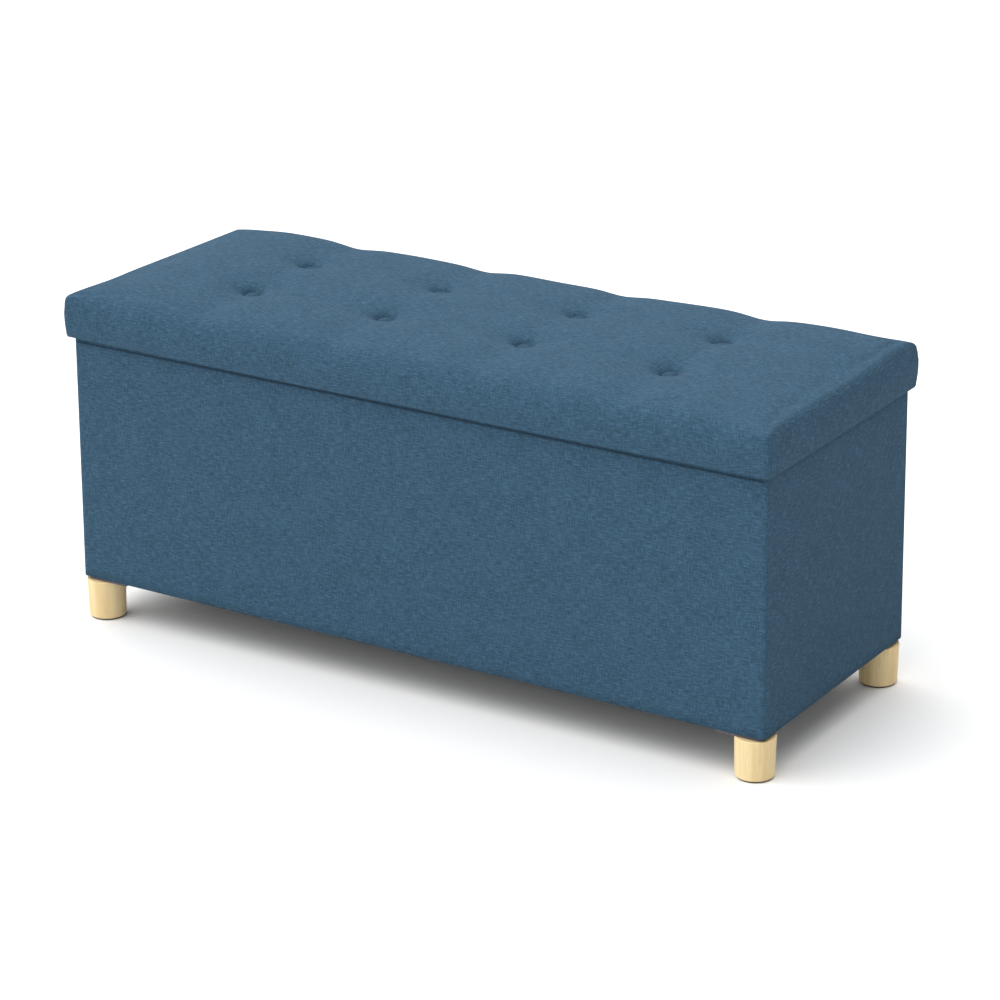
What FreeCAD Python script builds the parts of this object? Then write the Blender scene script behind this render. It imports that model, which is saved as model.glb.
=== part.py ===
"""Storage bench: a fabric-covered box on four round feet, with a tufted lid that lifts off.

Millimetres. The origin is on the floor under the middle of the bench.
+X runs along the bench to the right, +Y to the back and +Z up.
"""

import FreeCAD, Part
import math
import os

os.makedirs("parts", exist_ok=True)

V = FreeCAD.Vector
UP = V(0, 0, 1)

# ---------------------------------------------------------------- driving dimensions
LID_LENGTH = 1000.0
LID_DEPTH = 380.0
LID_CORNER_R = 6.0
CROWN_TOP = 447.0
LONG_SHOULDER_TOP = 441.0
LONG_SHOULDER_R = 24.0
END_SHOULDER_TOP = 439.0
END_SHOULDER_R = 10.0
END_RUN_IN = 105.0
SKIRT_BOTTOM = 382.0

BOX_LENGTH = 988.0
BOX_DEPTH = 360.0
BOX_CORNER_R = 4.0
BOX_BOTTOM = 56.0
BOX_TOP = 406.0

CLOTH = 1.0
BOX_BOARD = 12.0
LID_BOARD = 9.0
LONG_RIM = 6.0
END_RIM = 3.0

PAD_R = 21.5
PAD_THICK = 2.0
FOOT_TOP_R = 25.0
FOOT_FLOOR_R = 23.8
FOOT_INSET = 19.0
FOOT_EDGE = 1.5
PLATE_THICK = 3.0
PLATE_SIDE = 62.0
PLATE_INSET = 1.5
PLATE_CLIP = 26.0
PLATE_CORNER_R = 9.0
PLATE_SCREW_FAR = 53.0
PLATE_SCREW_NEAR = 11.0
PLATE_SCREW_MID = 45.0

BOLT_R = 4.0
BOLT_IN_FOOT = 35.0
INSERT_R = 6.0
SCREW_R = 2.0
SCREW_HEAD_R = 4.0
SCREW_HEAD = 2.0
PLATE_SCREW_GRIP = 13.0
LONG_SCREW = 40.0

TURN_IN = 30.0
TURN_UNDER = 25.0
STAPLE_CROWN = 12.0
STAPLE_WIRE = 0.6
STAPLE_PITCH = 62.0

BUTTON_R = 9.5
BUTTON_EDGE = 1.5
BUTTON_DOME = 2.8
DENT_R = 40.0
DENT_DEPTH = 13.0
TIE_R = 1.0
WASHER_R = 10.0
WASHER_THICK = 1.5
WALL_SCREW_INSET = 7.2

# ---------------------------------------------------------------- worked-out sizes
FRAME_LENGTH = BOX_LENGTH - 2 * CLOTH
FRAME_DEPTH = BOX_DEPTH - 2 * CLOTH
INNER_LENGTH = FRAME_LENGTH - 2 * BOX_BOARD
INNER_DEPTH = FRAME_DEPTH - 2 * BOX_BOARD
BASE_UNDER = BOX_BOTTOM + CLOTH
BASE_TOP = BASE_UNDER + BOX_BOARD
WALL_TOP = BOX_TOP - CLOTH
PLATE_UNDER = BOX_BOTTOM - PLATE_THICK

FOOT_X = BOX_LENGTH / 2 - FOOT_INSET
FOOT_Y = BOX_DEPTH / 2 - FOOT_INSET

LID_FRAME_LENGTH = LID_LENGTH - 2 * CLOTH
LID_FRAME_DEPTH = LID_DEPTH - 2 * CLOTH
LID_PLY_LENGTH = LID_FRAME_LENGTH - 2 * END_RIM
LID_PLY_DEPTH = LID_FRAME_DEPTH - 2 * LONG_RIM
LID_LINING_UNDER = BOX_TOP
LID_BOARD_UNDER = LID_LINING_UNDER + CLOTH
LID_BOARD_TOP = LID_BOARD_UNDER + LID_BOARD
RIM_UNDER = SKIRT_BOTTOM + CLOTH

TUFT_X = [LID_LENGTH * k / 10 for k in (-3, -1, 1, 3)]
TUFT_Y = {"front": -LID_DEPTH / 6, "rear": LID_DEPTH / 6}
CORNERS = {
    "front_left": (-1, -1),
    "front_right": (1, -1),
    "rear_left": (-1, 1),
    "rear_right": (1, 1),
}


# ---------------------------------------------------------------- helpers
def slab(length, depth, low, high, x=0.0, y=0.0):
    """A box of the given length and depth, centred on (x, y), from low to high."""
    corner = V(x - length / 2, y - depth / 2, low)
    return Part.makeBox(length, depth, high - low, corner)


def rounded_slab(length, depth, low, high, radius):
    """A centred slab whose four upright edges are rounded."""
    block = slab(length, depth, low, high)
    upright = [edge for edge in block.Edges if is_upright(edge)]
    return block.makeFillet(radius, upright)


def is_upright(edge):
    """True for an edge that runs straight up."""
    first, last = edge.Vertexes[0].Point, edge.Vertexes[-1].Point
    return math.hypot(first.x - last.x, first.y - last.y) < 1e-6


def stands_at(edge, place):
    """True for an upright edge that passes through a place."""
    point = edge.Vertexes[0].Point
    return math.hypot(point.x - place.x, point.y - place.y) < 1e-6


def rod(radius, start, direction, length):
    """A round bar from start along direction."""
    return Part.makeCylinder(radius, length, start, direction)


def countersunk_screw(start, direction, length):
    """A screw whose flat head is flush with start."""
    head = Part.makeCone(SCREW_HEAD_R, SCREW_R, SCREW_HEAD, start, direction)
    return head.fuse(rod(SCREW_R, start, direction, length)).removeSplitter()


def group(shapes):
    """Separate solids kept as one node."""
    return Part.makeCompound(shapes)


def face_of(points):
    """A flat face whose outline runs straight from point to point."""
    return Part.Face(Part.makePolygon(points + points[:1]))


def spaced(half_run, pitch):
    """Evenly spaced positions from -half_run to half_run, about a pitch apart."""
    gaps = max(1, round(2 * half_run / pitch))
    return [-half_run + 2 * half_run * k / gaps for k in range(gaps + 1)]


def staple_ring(half_x, half_y, low):
    """Staples lying flat along a rectangle, their crowns along its sides."""
    found = []
    for x in spaced(half_x - STAPLE_PITCH, STAPLE_PITCH):
        for side in (-1, 1):
            found.append(staple(x, side * half_y, low, STAPLE_CROWN, STAPLE_WIRE))
    for y in spaced(half_y - STAPLE_PITCH, STAPLE_PITCH):
        for side in (-1, 1):
            found.append(staple(side * half_x, y, low, STAPLE_WIRE, STAPLE_CROWN))
    return group(found)


def staple(x, y, low, length, depth):
    """One staple's crown."""
    return slab(length, depth, low, low + STAPLE_WIRE, x, y)


# ---------------------------------------------------------------- the lid's soft form
def crown_side(half, radius, shoulder, run_in, inset):
    """Named (u, z) marks of one crowned cross-section's right half: side, shoulder and crown."""
    side = half - inset
    radius -= inset
    shoulder -= inset
    top = CROWN_TOP - inset
    rise = top - shoulder
    bend = radius * (1 - math.sqrt(0.5))
    edge = side - radius
    return {
        "foot": (side, shoulder - radius),
        "bend": (side - bend, shoulder - bend),
        "shoulder": (edge, shoulder),
        "swell": (edge - run_in / 2, shoulder + 0.75 * rise),
        "crest": (edge - run_in, top),
    }


def crowned_profile(marks, low, place):
    """A closed crowned cross-section, its two halves mirrored; place turns (u, z) into a point."""

    def at(name, side):
        u, z = marks[name]
        return place(side * u, z)

    edges = []
    for side in (1, -1):
        edges.append(Part.makeLine(place(side * marks["foot"][0], low), at("foot", side)))
        edges.append(Part.Arc(at("foot", side), at("bend", side), at("shoulder", side)).toShape())
        edges.append(Part.Arc(at("shoulder", side), at("swell", side), at("crest", side)).toShape())
    if marks["crest"][0] > 1e-6:
        edges.append(Part.makeLine(at("crest", 1), at("crest", -1)))
    edges.append(Part.makeLine(place(marks["foot"][0], low), place(-marks["foot"][0], low)))
    return Part.Face(Part.Wire(Part.__sortEdges__(edges)))


def lid_form(inset, low):
    """The lid's outer form drawn in by inset: crowned both ways, with eight dents."""
    length = LID_LENGTH - 2 * inset
    depth = LID_DEPTH - 2 * inset
    plan = rounded_slab(length, depth, low, CROWN_TOP + 1, LID_CORNER_R - inset)
    long_run = LID_DEPTH / 2 - LONG_SHOULDER_R
    across = crown_side(LID_DEPTH / 2, LONG_SHOULDER_R, LONG_SHOULDER_TOP, long_run, inset)
    along = crown_side(LID_LENGTH / 2, END_SHOULDER_R, END_SHOULDER_TOP, END_RUN_IN, inset)
    across_face = crowned_profile(across, low, lambda u, z: V(-LID_LENGTH, u, z))
    along_face = crowned_profile(along, low, lambda u, z: V(u, -LID_DEPTH, z))
    form = plan.common(across_face.extrude(V(2 * LID_LENGTH, 0, 0)))
    form = form.common(along_face.extrude(V(0, 2 * LID_DEPTH, 0)))
    ball_r = (DENT_R**2 + DENT_DEPTH**2) / (2 * DENT_DEPTH)
    for x, y in tuft_places():
        centre = V(x, y, crown_height(y) - DENT_DEPTH + ball_r)
        form = form.cut(Part.makeSphere(ball_r + inset, centre))
    return form


def tuft_places():
    """The (x, y) of every tuft."""
    return [(x, y) for y in TUFT_Y.values() for x in TUFT_X]


def crown_height(y):
    """Height of the crown arc's top at a distance y from the middle, away from the ends."""
    half = LID_DEPTH / 2 - LONG_SHOULDER_R
    rise = CROWN_TOP - LONG_SHOULDER_TOP
    radius = (half**2 + rise**2) / (2 * rise)
    return CROWN_TOP - radius + math.sqrt(radius**2 - y**2)


def button_base():
    """Height of the cloth at the bottom of a dent, where a button sits."""
    return crown_height(TUFT_Y["rear"]) - DENT_DEPTH


# ---------------------------------------------------------------- fasteners
def foot_axis(corner):
    """The (x, y) of a corner's foot."""
    side_x, side_y = CORNERS[corner]
    return side_x * FOOT_X, side_y * FOOT_Y


def from_corner(corner, in_x, in_y):
    """The (x, y) at the given distances in from a bottom corner of the box."""
    side_x, side_y = CORNERS[corner]
    return side_x * (BOX_LENGTH / 2 - in_x), side_y * (BOX_DEPTH / 2 - in_y)


def wall_screws():
    """Screws through the long boards into the ends of the end boards."""
    found = []
    span = WALL_TOP - BASE_TOP
    end_x = FRAME_LENGTH / 2 - WALL_SCREW_INSET
    for side_x in (-1, 1):
        for side_y in (-1, 1):
            for part in (0.15, 0.5, 0.85):
                start = V(side_x * end_x, side_y * FRAME_DEPTH / 2, BASE_TOP + part * span)
                found.append(countersunk_screw(start, V(0, -side_y, 0), LONG_SCREW))
    return group(found)


def base_screws():
    """Screws up through the base board into the walls."""
    mid_y = FRAME_DEPTH / 2 - BOX_BOARD / 2
    mid_x = FRAME_LENGTH / 2 - BOX_BOARD / 2
    places = [(x, side * mid_y) for x in spaced(0.4 * FRAME_LENGTH, 260) for side in (-1, 1)]
    places += [(side * mid_x, y) for y in spaced(0.25 * FRAME_DEPTH, 180) for side in (-1, 1)]
    return group([countersunk_screw(V(x, y, BASE_UNDER), UP, LONG_SCREW) for x, y in places])


def plate_screws():
    """Three pan-head screws hold each corner plate."""
    insets = [
        (PLATE_SCREW_FAR, PLATE_SCREW_NEAR),
        (PLATE_SCREW_NEAR, PLATE_SCREW_FAR),
        (PLATE_SCREW_MID, PLATE_SCREW_MID),
    ]
    found = []
    for corner in CORNERS:
        for in_x, in_y in insets:
            x, y = from_corner(corner, in_x, in_y)
            head = rod(SCREW_HEAD_R, V(x, y, PLATE_UNDER - SCREW_HEAD), UP, SCREW_HEAD)
            shank = rod(SCREW_R, V(x, y, PLATE_UNDER - SCREW_HEAD), UP, SCREW_HEAD + PLATE_SCREW_GRIP)
            found.append(head.fuse(shank).removeSplitter())
    return group(found)


def foot_rods(radius, low, high):
    """Upright bars on the four foot axes."""
    return [rod(radius, V(*foot_axis(corner), low), UP, high - low) for corner in CORNERS]


# ---------------------------------------------------------------- box
def frame_block(low, high):
    """The boards' outer form: the cover's, less its cloth."""
    return rounded_slab(FRAME_LENGTH, FRAME_DEPTH, low, high, BOX_CORNER_R - CLOTH)


def base_board(cutters):
    """The board under the box, with holes for inserts and screws."""
    return frame_block(BASE_UNDER, BASE_TOP).cut(cutters)


def long_board(side, cutters):
    """Front or rear board, full length."""
    y = side * (FRAME_DEPTH - BOX_BOARD) / 2
    strip = slab(FRAME_LENGTH, BOX_BOARD, BASE_TOP, WALL_TOP, y=y)
    return frame_block(BASE_TOP, WALL_TOP).common(strip).cut(cutters)


def end_board(side, cutters):
    """Left or right board, between the long ones."""
    x = side * (FRAME_LENGTH - BOX_BOARD) / 2
    return slab(BOX_BOARD, INNER_DEPTH, BASE_TOP, WALL_TOP, x=x).cut(cutters)


def body_cover():
    """Cloth round the box, turned in over the top edge and turned under the base."""
    outside = rounded_slab(BOX_LENGTH, BOX_DEPTH, BOX_BOTTOM, BOX_TOP, BOX_CORNER_R)
    shell = outside.cut(frame_block(BASE_UNDER, WALL_TOP))
    mouth = slab(INNER_LENGTH - 2 * CLOTH, INNER_DEPTH - 2 * CLOTH, WALL_TOP - 1, BOX_TOP + 1)
    under = slab(FRAME_LENGTH - 2 * TURN_UNDER, FRAME_DEPTH - 2 * TURN_UNDER, BOX_BOTTOM - 1, BASE_UNDER + 1)
    turned = ring(INNER_LENGTH, INNER_DEPTH, CLOTH, WALL_TOP - TURN_IN, WALL_TOP)
    return shell.cut(mouth).cut(under).fuse(turned).removeSplitter()


def ring(length, depth, thick, low, high):
    """A rectangular tube whose outside is length by depth."""
    inside = slab(length - 2 * thick, depth - 2 * thick, low - 1, high + 1)
    return slab(length, depth, low, high).cut(inside)


def corner_plate(corner, cutters):
    """A flat plate under a corner, rounded at the box's corner and clipped opposite."""
    near = PLATE_INSET
    far = PLATE_INSET + PLATE_SIDE
    outline = [(near, near), (far, near), (far, far - PLATE_CLIP), (far - PLATE_CLIP, far), (near, far)]
    points = [V(*from_corner(corner, in_x, in_y), PLATE_UNDER) for in_x, in_y in outline]
    plate = face_of(points).extrude(V(0, 0, PLATE_THICK))
    sharp = [edge for edge in plate.Edges if is_upright(edge) and stands_at(edge, points[0])]
    return plate.makeFillet(PLATE_CORNER_R, sharp).cut(cutters)


def foot(corner, cutters):
    """A round wooden foot, a little slimmer at the floor, with softened edges."""
    height = PLATE_UNDER - PAD_THICK
    body = Part.makeCone(FOOT_FLOOR_R, FOOT_TOP_R, height, V(*foot_axis(corner), PAD_THICK), UP)
    rims = [edge for edge in body.Edges if len(edge.Vertexes) == 1]
    return body.makeFillet(FOOT_EDGE, rims).cut(cutters)


def foot_pad(corner):
    """The thin pad under a foot."""
    return rod(PAD_R, V(*foot_axis(corner), 0), UP, PAD_THICK)


def threaded_inserts():
    """Sleeves in the base board that take the hanger bolts."""
    sleeves = foot_rods(INSERT_R, BASE_UNDER, BASE_TOP)
    return group([sleeve.cut(group(foot_rods(BOLT_R, 0, BASE_TOP + 1))) for sleeve in sleeves])


def build_box():
    """Every piece of the box, by name."""
    wall_set = wall_screws()
    base_set = base_screws()
    plate_set = plate_screws()
    inserts = group(foot_rods(INSERT_R, BASE_UNDER, BASE_TOP))
    bolts = group(foot_rods(BOLT_R, PLATE_UNDER - BOLT_IN_FOOT, BASE_TOP))
    through = group([plate_set, bolts])
    pieces = {
        "base_board": base_board(group([inserts, base_set, plate_set])),
        "front_board": long_board(-1, group([wall_set, base_set])),
        "rear_board": long_board(1, group([wall_set, base_set])),
        "left_board": end_board(-1, group([wall_set, base_set])),
        "right_board": end_board(1, group([wall_set, base_set])),
        "wall_screws": wall_set,
        "base_screws": base_set,
        "body_cover": body_cover().cut(through),
        "wall_lining": ring(INNER_LENGTH, INNER_DEPTH, CLOTH, BASE_TOP + CLOTH, WALL_TOP - TURN_IN),
        "floor_lining": slab(INNER_LENGTH, INNER_DEPTH, BASE_TOP, BASE_TOP + CLOTH),
        "underside_cloth": underside_cloth().cut(through),
        "cloth_staples": staple_ring(*cloth_edge(), BOX_BOTTOM - STAPLE_WIRE),
        "plate_screws": plate_set,
        "threaded_inserts": threaded_inserts(),
        "hanger_bolts": bolts,
    }
    for corner in CORNERS:
        pieces["corner_plate_" + corner] = corner_plate(corner, through)
        pieces["foot_" + corner] = foot(corner, bolts)
        pieces["foot_pad_" + corner] = foot_pad(corner)
    return pieces


def cloth_edge():
    """Half sizes of the rectangle along which the underside cloth is stapled."""
    hem = 8.0
    return FRAME_LENGTH / 2 - TURN_UNDER - hem, FRAME_DEPTH / 2 - TURN_UNDER - hem


def underside_cloth():
    """The cloth that closes the underside, inside the turned-under band."""
    return slab(FRAME_LENGTH - 2 * TURN_UNDER, FRAME_DEPTH - 2 * TURN_UNDER, BOX_BOTTOM, BASE_UNDER)


# ---------------------------------------------------------------- lid
def rim_boards():
    """Four boards round the lid board, hanging below it: two long ones and two between them."""
    outside = rounded_slab(LID_FRAME_LENGTH, LID_FRAME_DEPTH, RIM_UNDER, LID_BOARD_TOP, LID_CORNER_R - CLOTH)
    band = outside.cut(slab(LID_PLY_LENGTH, LID_PLY_DEPTH, RIM_UNDER - 1, LID_BOARD_TOP + 1))
    found = {}
    for name, side in (("front", -1), ("rear", 1)):
        y = side * (LID_FRAME_DEPTH - LONG_RIM) / 2
        keep = slab(LID_FRAME_LENGTH, LONG_RIM, RIM_UNDER, LID_BOARD_TOP, y=y)
        found["lid_rim_" + name] = band.common(keep)
    for name, side in (("left", -1), ("right", 1)):
        x = side * (LID_FRAME_LENGTH - END_RIM) / 2
        found["lid_rim_" + name] = slab(END_RIM, LID_PLY_DEPTH, RIM_UNDER, LID_BOARD_TOP, x=x)
    return found


def lid_cover():
    """Cloth over the lid, down the skirt and turned up inside it."""
    shell = lid_form(0, SKIRT_BOTTOM).cut(lid_form(CLOTH, RIM_UNDER))
    mouth = slab(LID_PLY_LENGTH - 2 * CLOTH, LID_PLY_DEPTH - 2 * CLOTH, SKIRT_BOTTOM - 1, RIM_UNDER + 1)
    turned = ring(LID_PLY_LENGTH, LID_PLY_DEPTH, CLOTH, RIM_UNDER, LID_LINING_UNDER)
    return shell.cut(mouth).fuse(turned).removeSplitter()


def tuft_button(x, y):
    """A cloth-covered button: a thin edge under a low dome."""
    base = button_base()
    brim = base + BUTTON_EDGE
    middle = BUTTON_R * math.sqrt(0.5)
    ball_r = (BUTTON_R**2 + BUTTON_DOME**2) / (2 * BUTTON_DOME)
    rise = math.sqrt(ball_r**2 - middle**2) - (ball_r - BUTTON_DOME)
    rim = V(x + BUTTON_R, y, brim)
    crest = V(x, y, brim + BUTTON_DOME)
    outline = [
        Part.makeLine(V(x, y, base), V(x + BUTTON_R, y, base)),
        Part.makeLine(V(x + BUTTON_R, y, base), rim),
        Part.Arc(rim, V(x + middle, y, brim + rise), crest).toShape(),
        Part.makeLine(crest, V(x, y, base)),
    ]
    return Part.Face(Part.Wire(outline)).revolve(V(x, y, base), UP, 360)


def build_lid():
    """Every piece of the lid, by name."""
    places = tuft_places()
    tie_length = button_base() - LID_BOARD_UNDER
    ties = group([rod(TIE_R, V(x, y, LID_BOARD_UNDER), UP, tie_length) for x, y in places])
    discs = group([rod(WASHER_R, V(x, y, LID_BOARD_UNDER), UP, WASHER_THICK) for x, y in places])
    board = slab(LID_PLY_LENGTH, LID_PLY_DEPTH, LID_BOARD_UNDER, LID_BOARD_TOP)
    sit = seat_dents()
    pieces = {
        "lid_board": board.cut(discs).cut(ties),
        "foam_pad": lid_form(CLOTH, LID_BOARD_TOP).cut(ties),
        "lid_cover": lid_cover().cut(ties).cut(sit),
        "tuft_ties": ties,
        "tie_washers": discs.cut(ties),
        "lid_lining": slab(LID_PLY_LENGTH, LID_PLY_DEPTH, LID_LINING_UNDER, LID_BOARD_UNDER),
        "lid_staples": staple_ring(*lining_edge(), LID_LINING_UNDER - STAPLE_WIRE),
    }
    pieces.update(rim_boards())
    for row, y in TUFT_Y.items():
        for number, x in enumerate(TUFT_X, start=1):
            pieces["tuft_button_%s_%d" % (row, number)] = tuft_button(x, y)
    return pieces


def seat_dents():
    """Flat seats in the cloth for the buttons, no deeper than the bottoms of the dents."""
    return group([rod(BUTTON_R, V(x, y, button_base()), UP, DENT_DEPTH) for x, y in tuft_places()])


def lining_edge():
    """Half sizes of the rectangle along which the lid lining is stapled, clear of the walls."""
    clear = 10.0
    return INNER_LENGTH / 2 - clear, INNER_DEPTH / 2 - clear


# ---------------------------------------------------------------- export
def main():
    """Build every piece and write each one to its own file."""
    pieces = build_box()
    pieces.update(build_lid())
    for name, shape in sorted(pieces.items()):
        shape.exportStep("parts/%s.step" % name)
    print("%d pieces written" % len(pieces))


main()
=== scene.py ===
"""Storage bench: its linen covers, foam, buttons, linings, beech feet and metalwork.

Every length is in metres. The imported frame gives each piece's place, and the soft pieces are built round it.
+X runs along the bench to the right, +Y to the back and +Z up.
"""

from __future__ import annotations

import logging
import math
from dataclasses import dataclass, field
from enum import Enum
from typing import Sequence

import bpy
import numpy as np
from mathutils import Matrix, Vector


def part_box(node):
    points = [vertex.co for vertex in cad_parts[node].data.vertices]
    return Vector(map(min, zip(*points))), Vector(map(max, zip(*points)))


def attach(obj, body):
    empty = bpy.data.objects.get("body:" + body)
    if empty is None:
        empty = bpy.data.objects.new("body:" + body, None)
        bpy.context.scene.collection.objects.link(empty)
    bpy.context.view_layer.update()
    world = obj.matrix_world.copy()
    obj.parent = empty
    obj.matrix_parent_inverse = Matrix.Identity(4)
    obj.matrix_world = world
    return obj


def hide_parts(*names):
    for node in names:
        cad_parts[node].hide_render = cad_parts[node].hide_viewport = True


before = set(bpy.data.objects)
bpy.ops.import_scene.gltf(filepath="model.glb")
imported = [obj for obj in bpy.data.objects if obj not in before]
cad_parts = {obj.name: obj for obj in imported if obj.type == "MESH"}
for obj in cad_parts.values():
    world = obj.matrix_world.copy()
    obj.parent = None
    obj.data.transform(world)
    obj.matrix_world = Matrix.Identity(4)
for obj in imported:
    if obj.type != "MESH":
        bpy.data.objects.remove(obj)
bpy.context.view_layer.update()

Array = np.ndarray
Colour = tuple[float, float, float]
Span = tuple[float, float]
Socket = bpy.types.NodeSocket
LOG = logging.getLogger("bench")
CLOTH_MAP = "cloth"
# Point attribute for paler wear, which along the lid's hem is also a painted highlight.
WEAR_AND_HIGHLIGHT = "wear"
# Point attribute for painted shade: in the dents, on the buttons, just below the lid's skirt and along the
# box's lowest edge.
PAINTED_SHADE = "painted_shade"
# Cloth between one side's pattern and the next side's, so that no two sides match.
SIDE_SHIFT = 1.31
# Places tried along a run when its columns are spaced out.
MARK_SAMPLES = 4001
# Stops a division by zero.
TINY = 1e-9
# Keeps a sheet just clear of the surface that it lies on.
LIFT = 0.0001
# Edges sharper than this are rounded.
SHARP_EDGE = math.radians(40)
# Where most values of a noise lie.
MIDDLE: Span = (0.3, 0.7)
# Short names for the surface shader's sockets.
SHINE = {
    "specular": "Specular IOR Level",
    "sheen": "Sheen Weight",
    "sheen_roughness": "Sheen Roughness",
    "sheen_tint": "Sheen Tint",
    "metallic": "Metallic",
    "coat": "Coat Weight",
    "coat_roughness": "Coat Roughness",
    "subsurface": "Subsurface Weight",
}


class Body(str, Enum):
    """The two bodies that pieces ride on."""

    BOX = "box"
    LID = "lid"


class Side(Enum):
    """The four sides, in the order in which a ring walks round them."""

    FRONT = 0
    RIGHT = 1
    REAR = 2
    LEFT = 3

    @property
    def is_long(self) -> bool:
        """True for the front and the rear."""
        return self in (Side.FRONT, Side.REAR)

    def place(self, along: Array, out: Array) -> Array:
        """Turn distances along and out from the middle of this side into plan points.

        Args:
            along: distance along the side, in the walking direction.
            out: distance outwards from the bench's middle.

        Returns:
            One (x, y) row for each pair.
        """
        turned = {
            Side.FRONT: (along, -out),
            Side.RIGHT: (out, along),
            Side.REAR: (-along, out),
            Side.LEFT: (-out, -along),
        }
        return np.stack(turned[self], axis=-1)


# ---------------------------------------------------------------- small calculations
def smooth(low: float, high: float, value: Array | float) -> Array:
    """Rise smoothly from 0 at low to 1 at high.

    Args:
        low: where the rise starts.
        high: where it ends.
        value: the places to work it out at.

    Returns:
        The height of the rise at each place.
    """
    part = np.clip((np.asarray(value, float) - low) / (high - low), 0.0, 1.0)
    return part * part * (3.0 - 2.0 * part)


def bell(value: Array, width: float) -> Array:
    """A smooth hump of height 1 at zero, falling away over width."""
    return np.exp(-((value / width) ** 2))


def marks(length: float, hot: Sequence[float], fine: float, coarse: float, reach: float) -> Array:
    """Fractions from 0 to 1 along a length, close together near the hot places.

    Args:
        length: the whole run.
        hot: places along the run, from 0 to length, that need detail.
        fine: spacing at a hot place.
        coarse: spacing far from one.
        reach: how far a hot place's detail spreads.

    Returns:
        Rising fractions, the first 0 and the last 1.
    """
    places = np.linspace(0.0, length, MARK_SAMPLES)
    near = np.max([bell(places - spot, reach) for spot in hot], axis=0)
    density = (1.0 - near) / coarse + near / fine
    total = np.concatenate([[0.0], np.cumsum((density[1:] + density[:-1]) / 2 * np.diff(places))])
    steps = max(2, int(round(total[-1])))
    return np.interp(np.linspace(0.0, total[-1], steps + 1), total, places) / length


@dataclass(frozen=True)
class Ripple:
    """Gentle unevenness of hand-fitted cloth, the same each time for one seed."""

    seed: int
    wavelength: float
    waves: int = 7
    shortest: float = 0.7
    longest: float = 1.6
    gain: float = 1.8

    def at(self, u: Array, v: Array) -> Array:
        """Work out the unevenness, from about -1 to 1.

        Args:
            u: first cloth coordinate.
            v: second cloth coordinate.

        Returns:
            One value for each (u, v).
        """
        random = np.random.default_rng(self.seed)
        total = np.zeros(np.broadcast(u, v).shape)
        for _ in range(self.waves):
            heading, phase = random.uniform(0, math.tau, 2)
            length = self.wavelength * random.uniform(self.shortest, self.longest)
            turns = (u * math.cos(heading) + v * math.sin(heading)) * math.tau / length
            total = total + np.sin(turns + phase)
        return total / self.waves * self.gain


# ---------------------------------------------------------------- mesh making
@dataclass(frozen=True)
class Outline:
    """A rounded rectangle seen from above."""

    half_x: float
    half_y: float
    radius: float = 0.0

    def run(self, side: Side) -> float:
        """Length of one side, from the middle of one corner's arc to the middle of the next."""
        half = self.half_x if side.is_long else self.half_y
        return 2 * (half - self.radius) + math.pi / 2 * self.radius

    def walk(self, side: Side, parts: Array) -> tuple[Array, Array]:
        """Points along one side and the directions that they face.

        Args:
            side: which side.
            parts: fractions of the side's run.

        Returns:
            The (x, y) points and their outward directions.
        """
        half, out = (self.half_x, self.half_y) if side.is_long else (self.half_y, self.half_x)
        radius = max(self.radius, TINY)
        run, arc = self.run(side), math.pi / 4 * self.radius
        gone = parts * run
        before = np.clip(arc - gone, 0, None) / radius
        after = np.clip(gone - (run - arc), 0, None) / radius
        turn = after - before
        straight = np.clip(gone - arc, 0, run - 2 * arc) - (half - self.radius)
        if self.radius <= 0:
            turn = np.where(parts <= 0, -math.pi / 4, np.where(parts >= 1, math.pi / 4, 0.0))
        along = straight + self.radius * np.sin(turn)
        outward = out - self.radius + self.radius * np.cos(turn)
        return side.place(along, outward), side.place(np.sin(turn), np.cos(turn))


@dataclass
class Columns:
    """The upright columns that every ring round the bench shares, so that rings join up."""

    along_x: Array
    along_y: Array

    def parts(self, side: Side) -> Array:
        """The fractions of one side's run, in walking order."""
        rising = self.along_x if side.is_long else self.along_y
        return rising if side in (Side.FRONT, Side.RIGHT) else 1.0 - rising[::-1]

    @property
    def count(self) -> int:
        """Columns in a whole ring."""
        return 2 * (len(self.along_x) + len(self.along_y)) - 4

    def ring(self, outline: Outline) -> tuple[Array, Array]:
        """A whole ring's plan points and outward directions."""
        walks = [outline.walk(side, self.parts(side)) for side in Side]
        return tuple(np.concatenate([walk[k][:-1] for walk in walks]) for k in (0, 1))

    def spans(self) -> list[tuple[Side, Array]]:
        """Each side with its columns' places in a ring, both corners included."""
        found, start = [], 0
        for side in Side:
            size = len(self.parts(side))
            found.append((side, (start + np.arange(size)) % self.count))
            start += size - 1
        return found

    def border(self, grid: Array) -> Array:
        """The edge of a (rows of y, columns of x) grid, in a ring's order."""
        return np.concatenate([grid[0, :-1], grid[:-1, -1], grid[-1, :0:-1], grid[:0:-1, 0]])

    def close(self, ring: Array, inside: Array) -> Array:
        """Lay a grid inside a ring.

        Args:
            ring: point numbers round the ring.
            inside: point numbers of the grid, without its edge.

        Returns:
            The whole grid, with the ring as its edge.
        """
        across, up = len(self.along_x) - 1, len(self.along_y) - 1
        whole = np.zeros((up + 1, across + 1), int)
        whole[1:-1, 1:-1] = inside
        front, right, rear, left = np.split(ring, np.cumsum([across, up, across]))
        whole[0, :-1], whole[:-1, -1] = front, right
        whole[-1, :0:-1], whole[:0:-1, 0] = rear, left
        return whole

    def from_corners(self, outline: Outline) -> Array:
        """How far round the outline each column stands from its side's nearer corner."""
        found = []
        for side in Side:
            parts = self.parts(side)
            found.append((np.minimum(parts, 1.0 - parts) * outline.run(side))[:-1])
        return np.concatenate(found)


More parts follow.
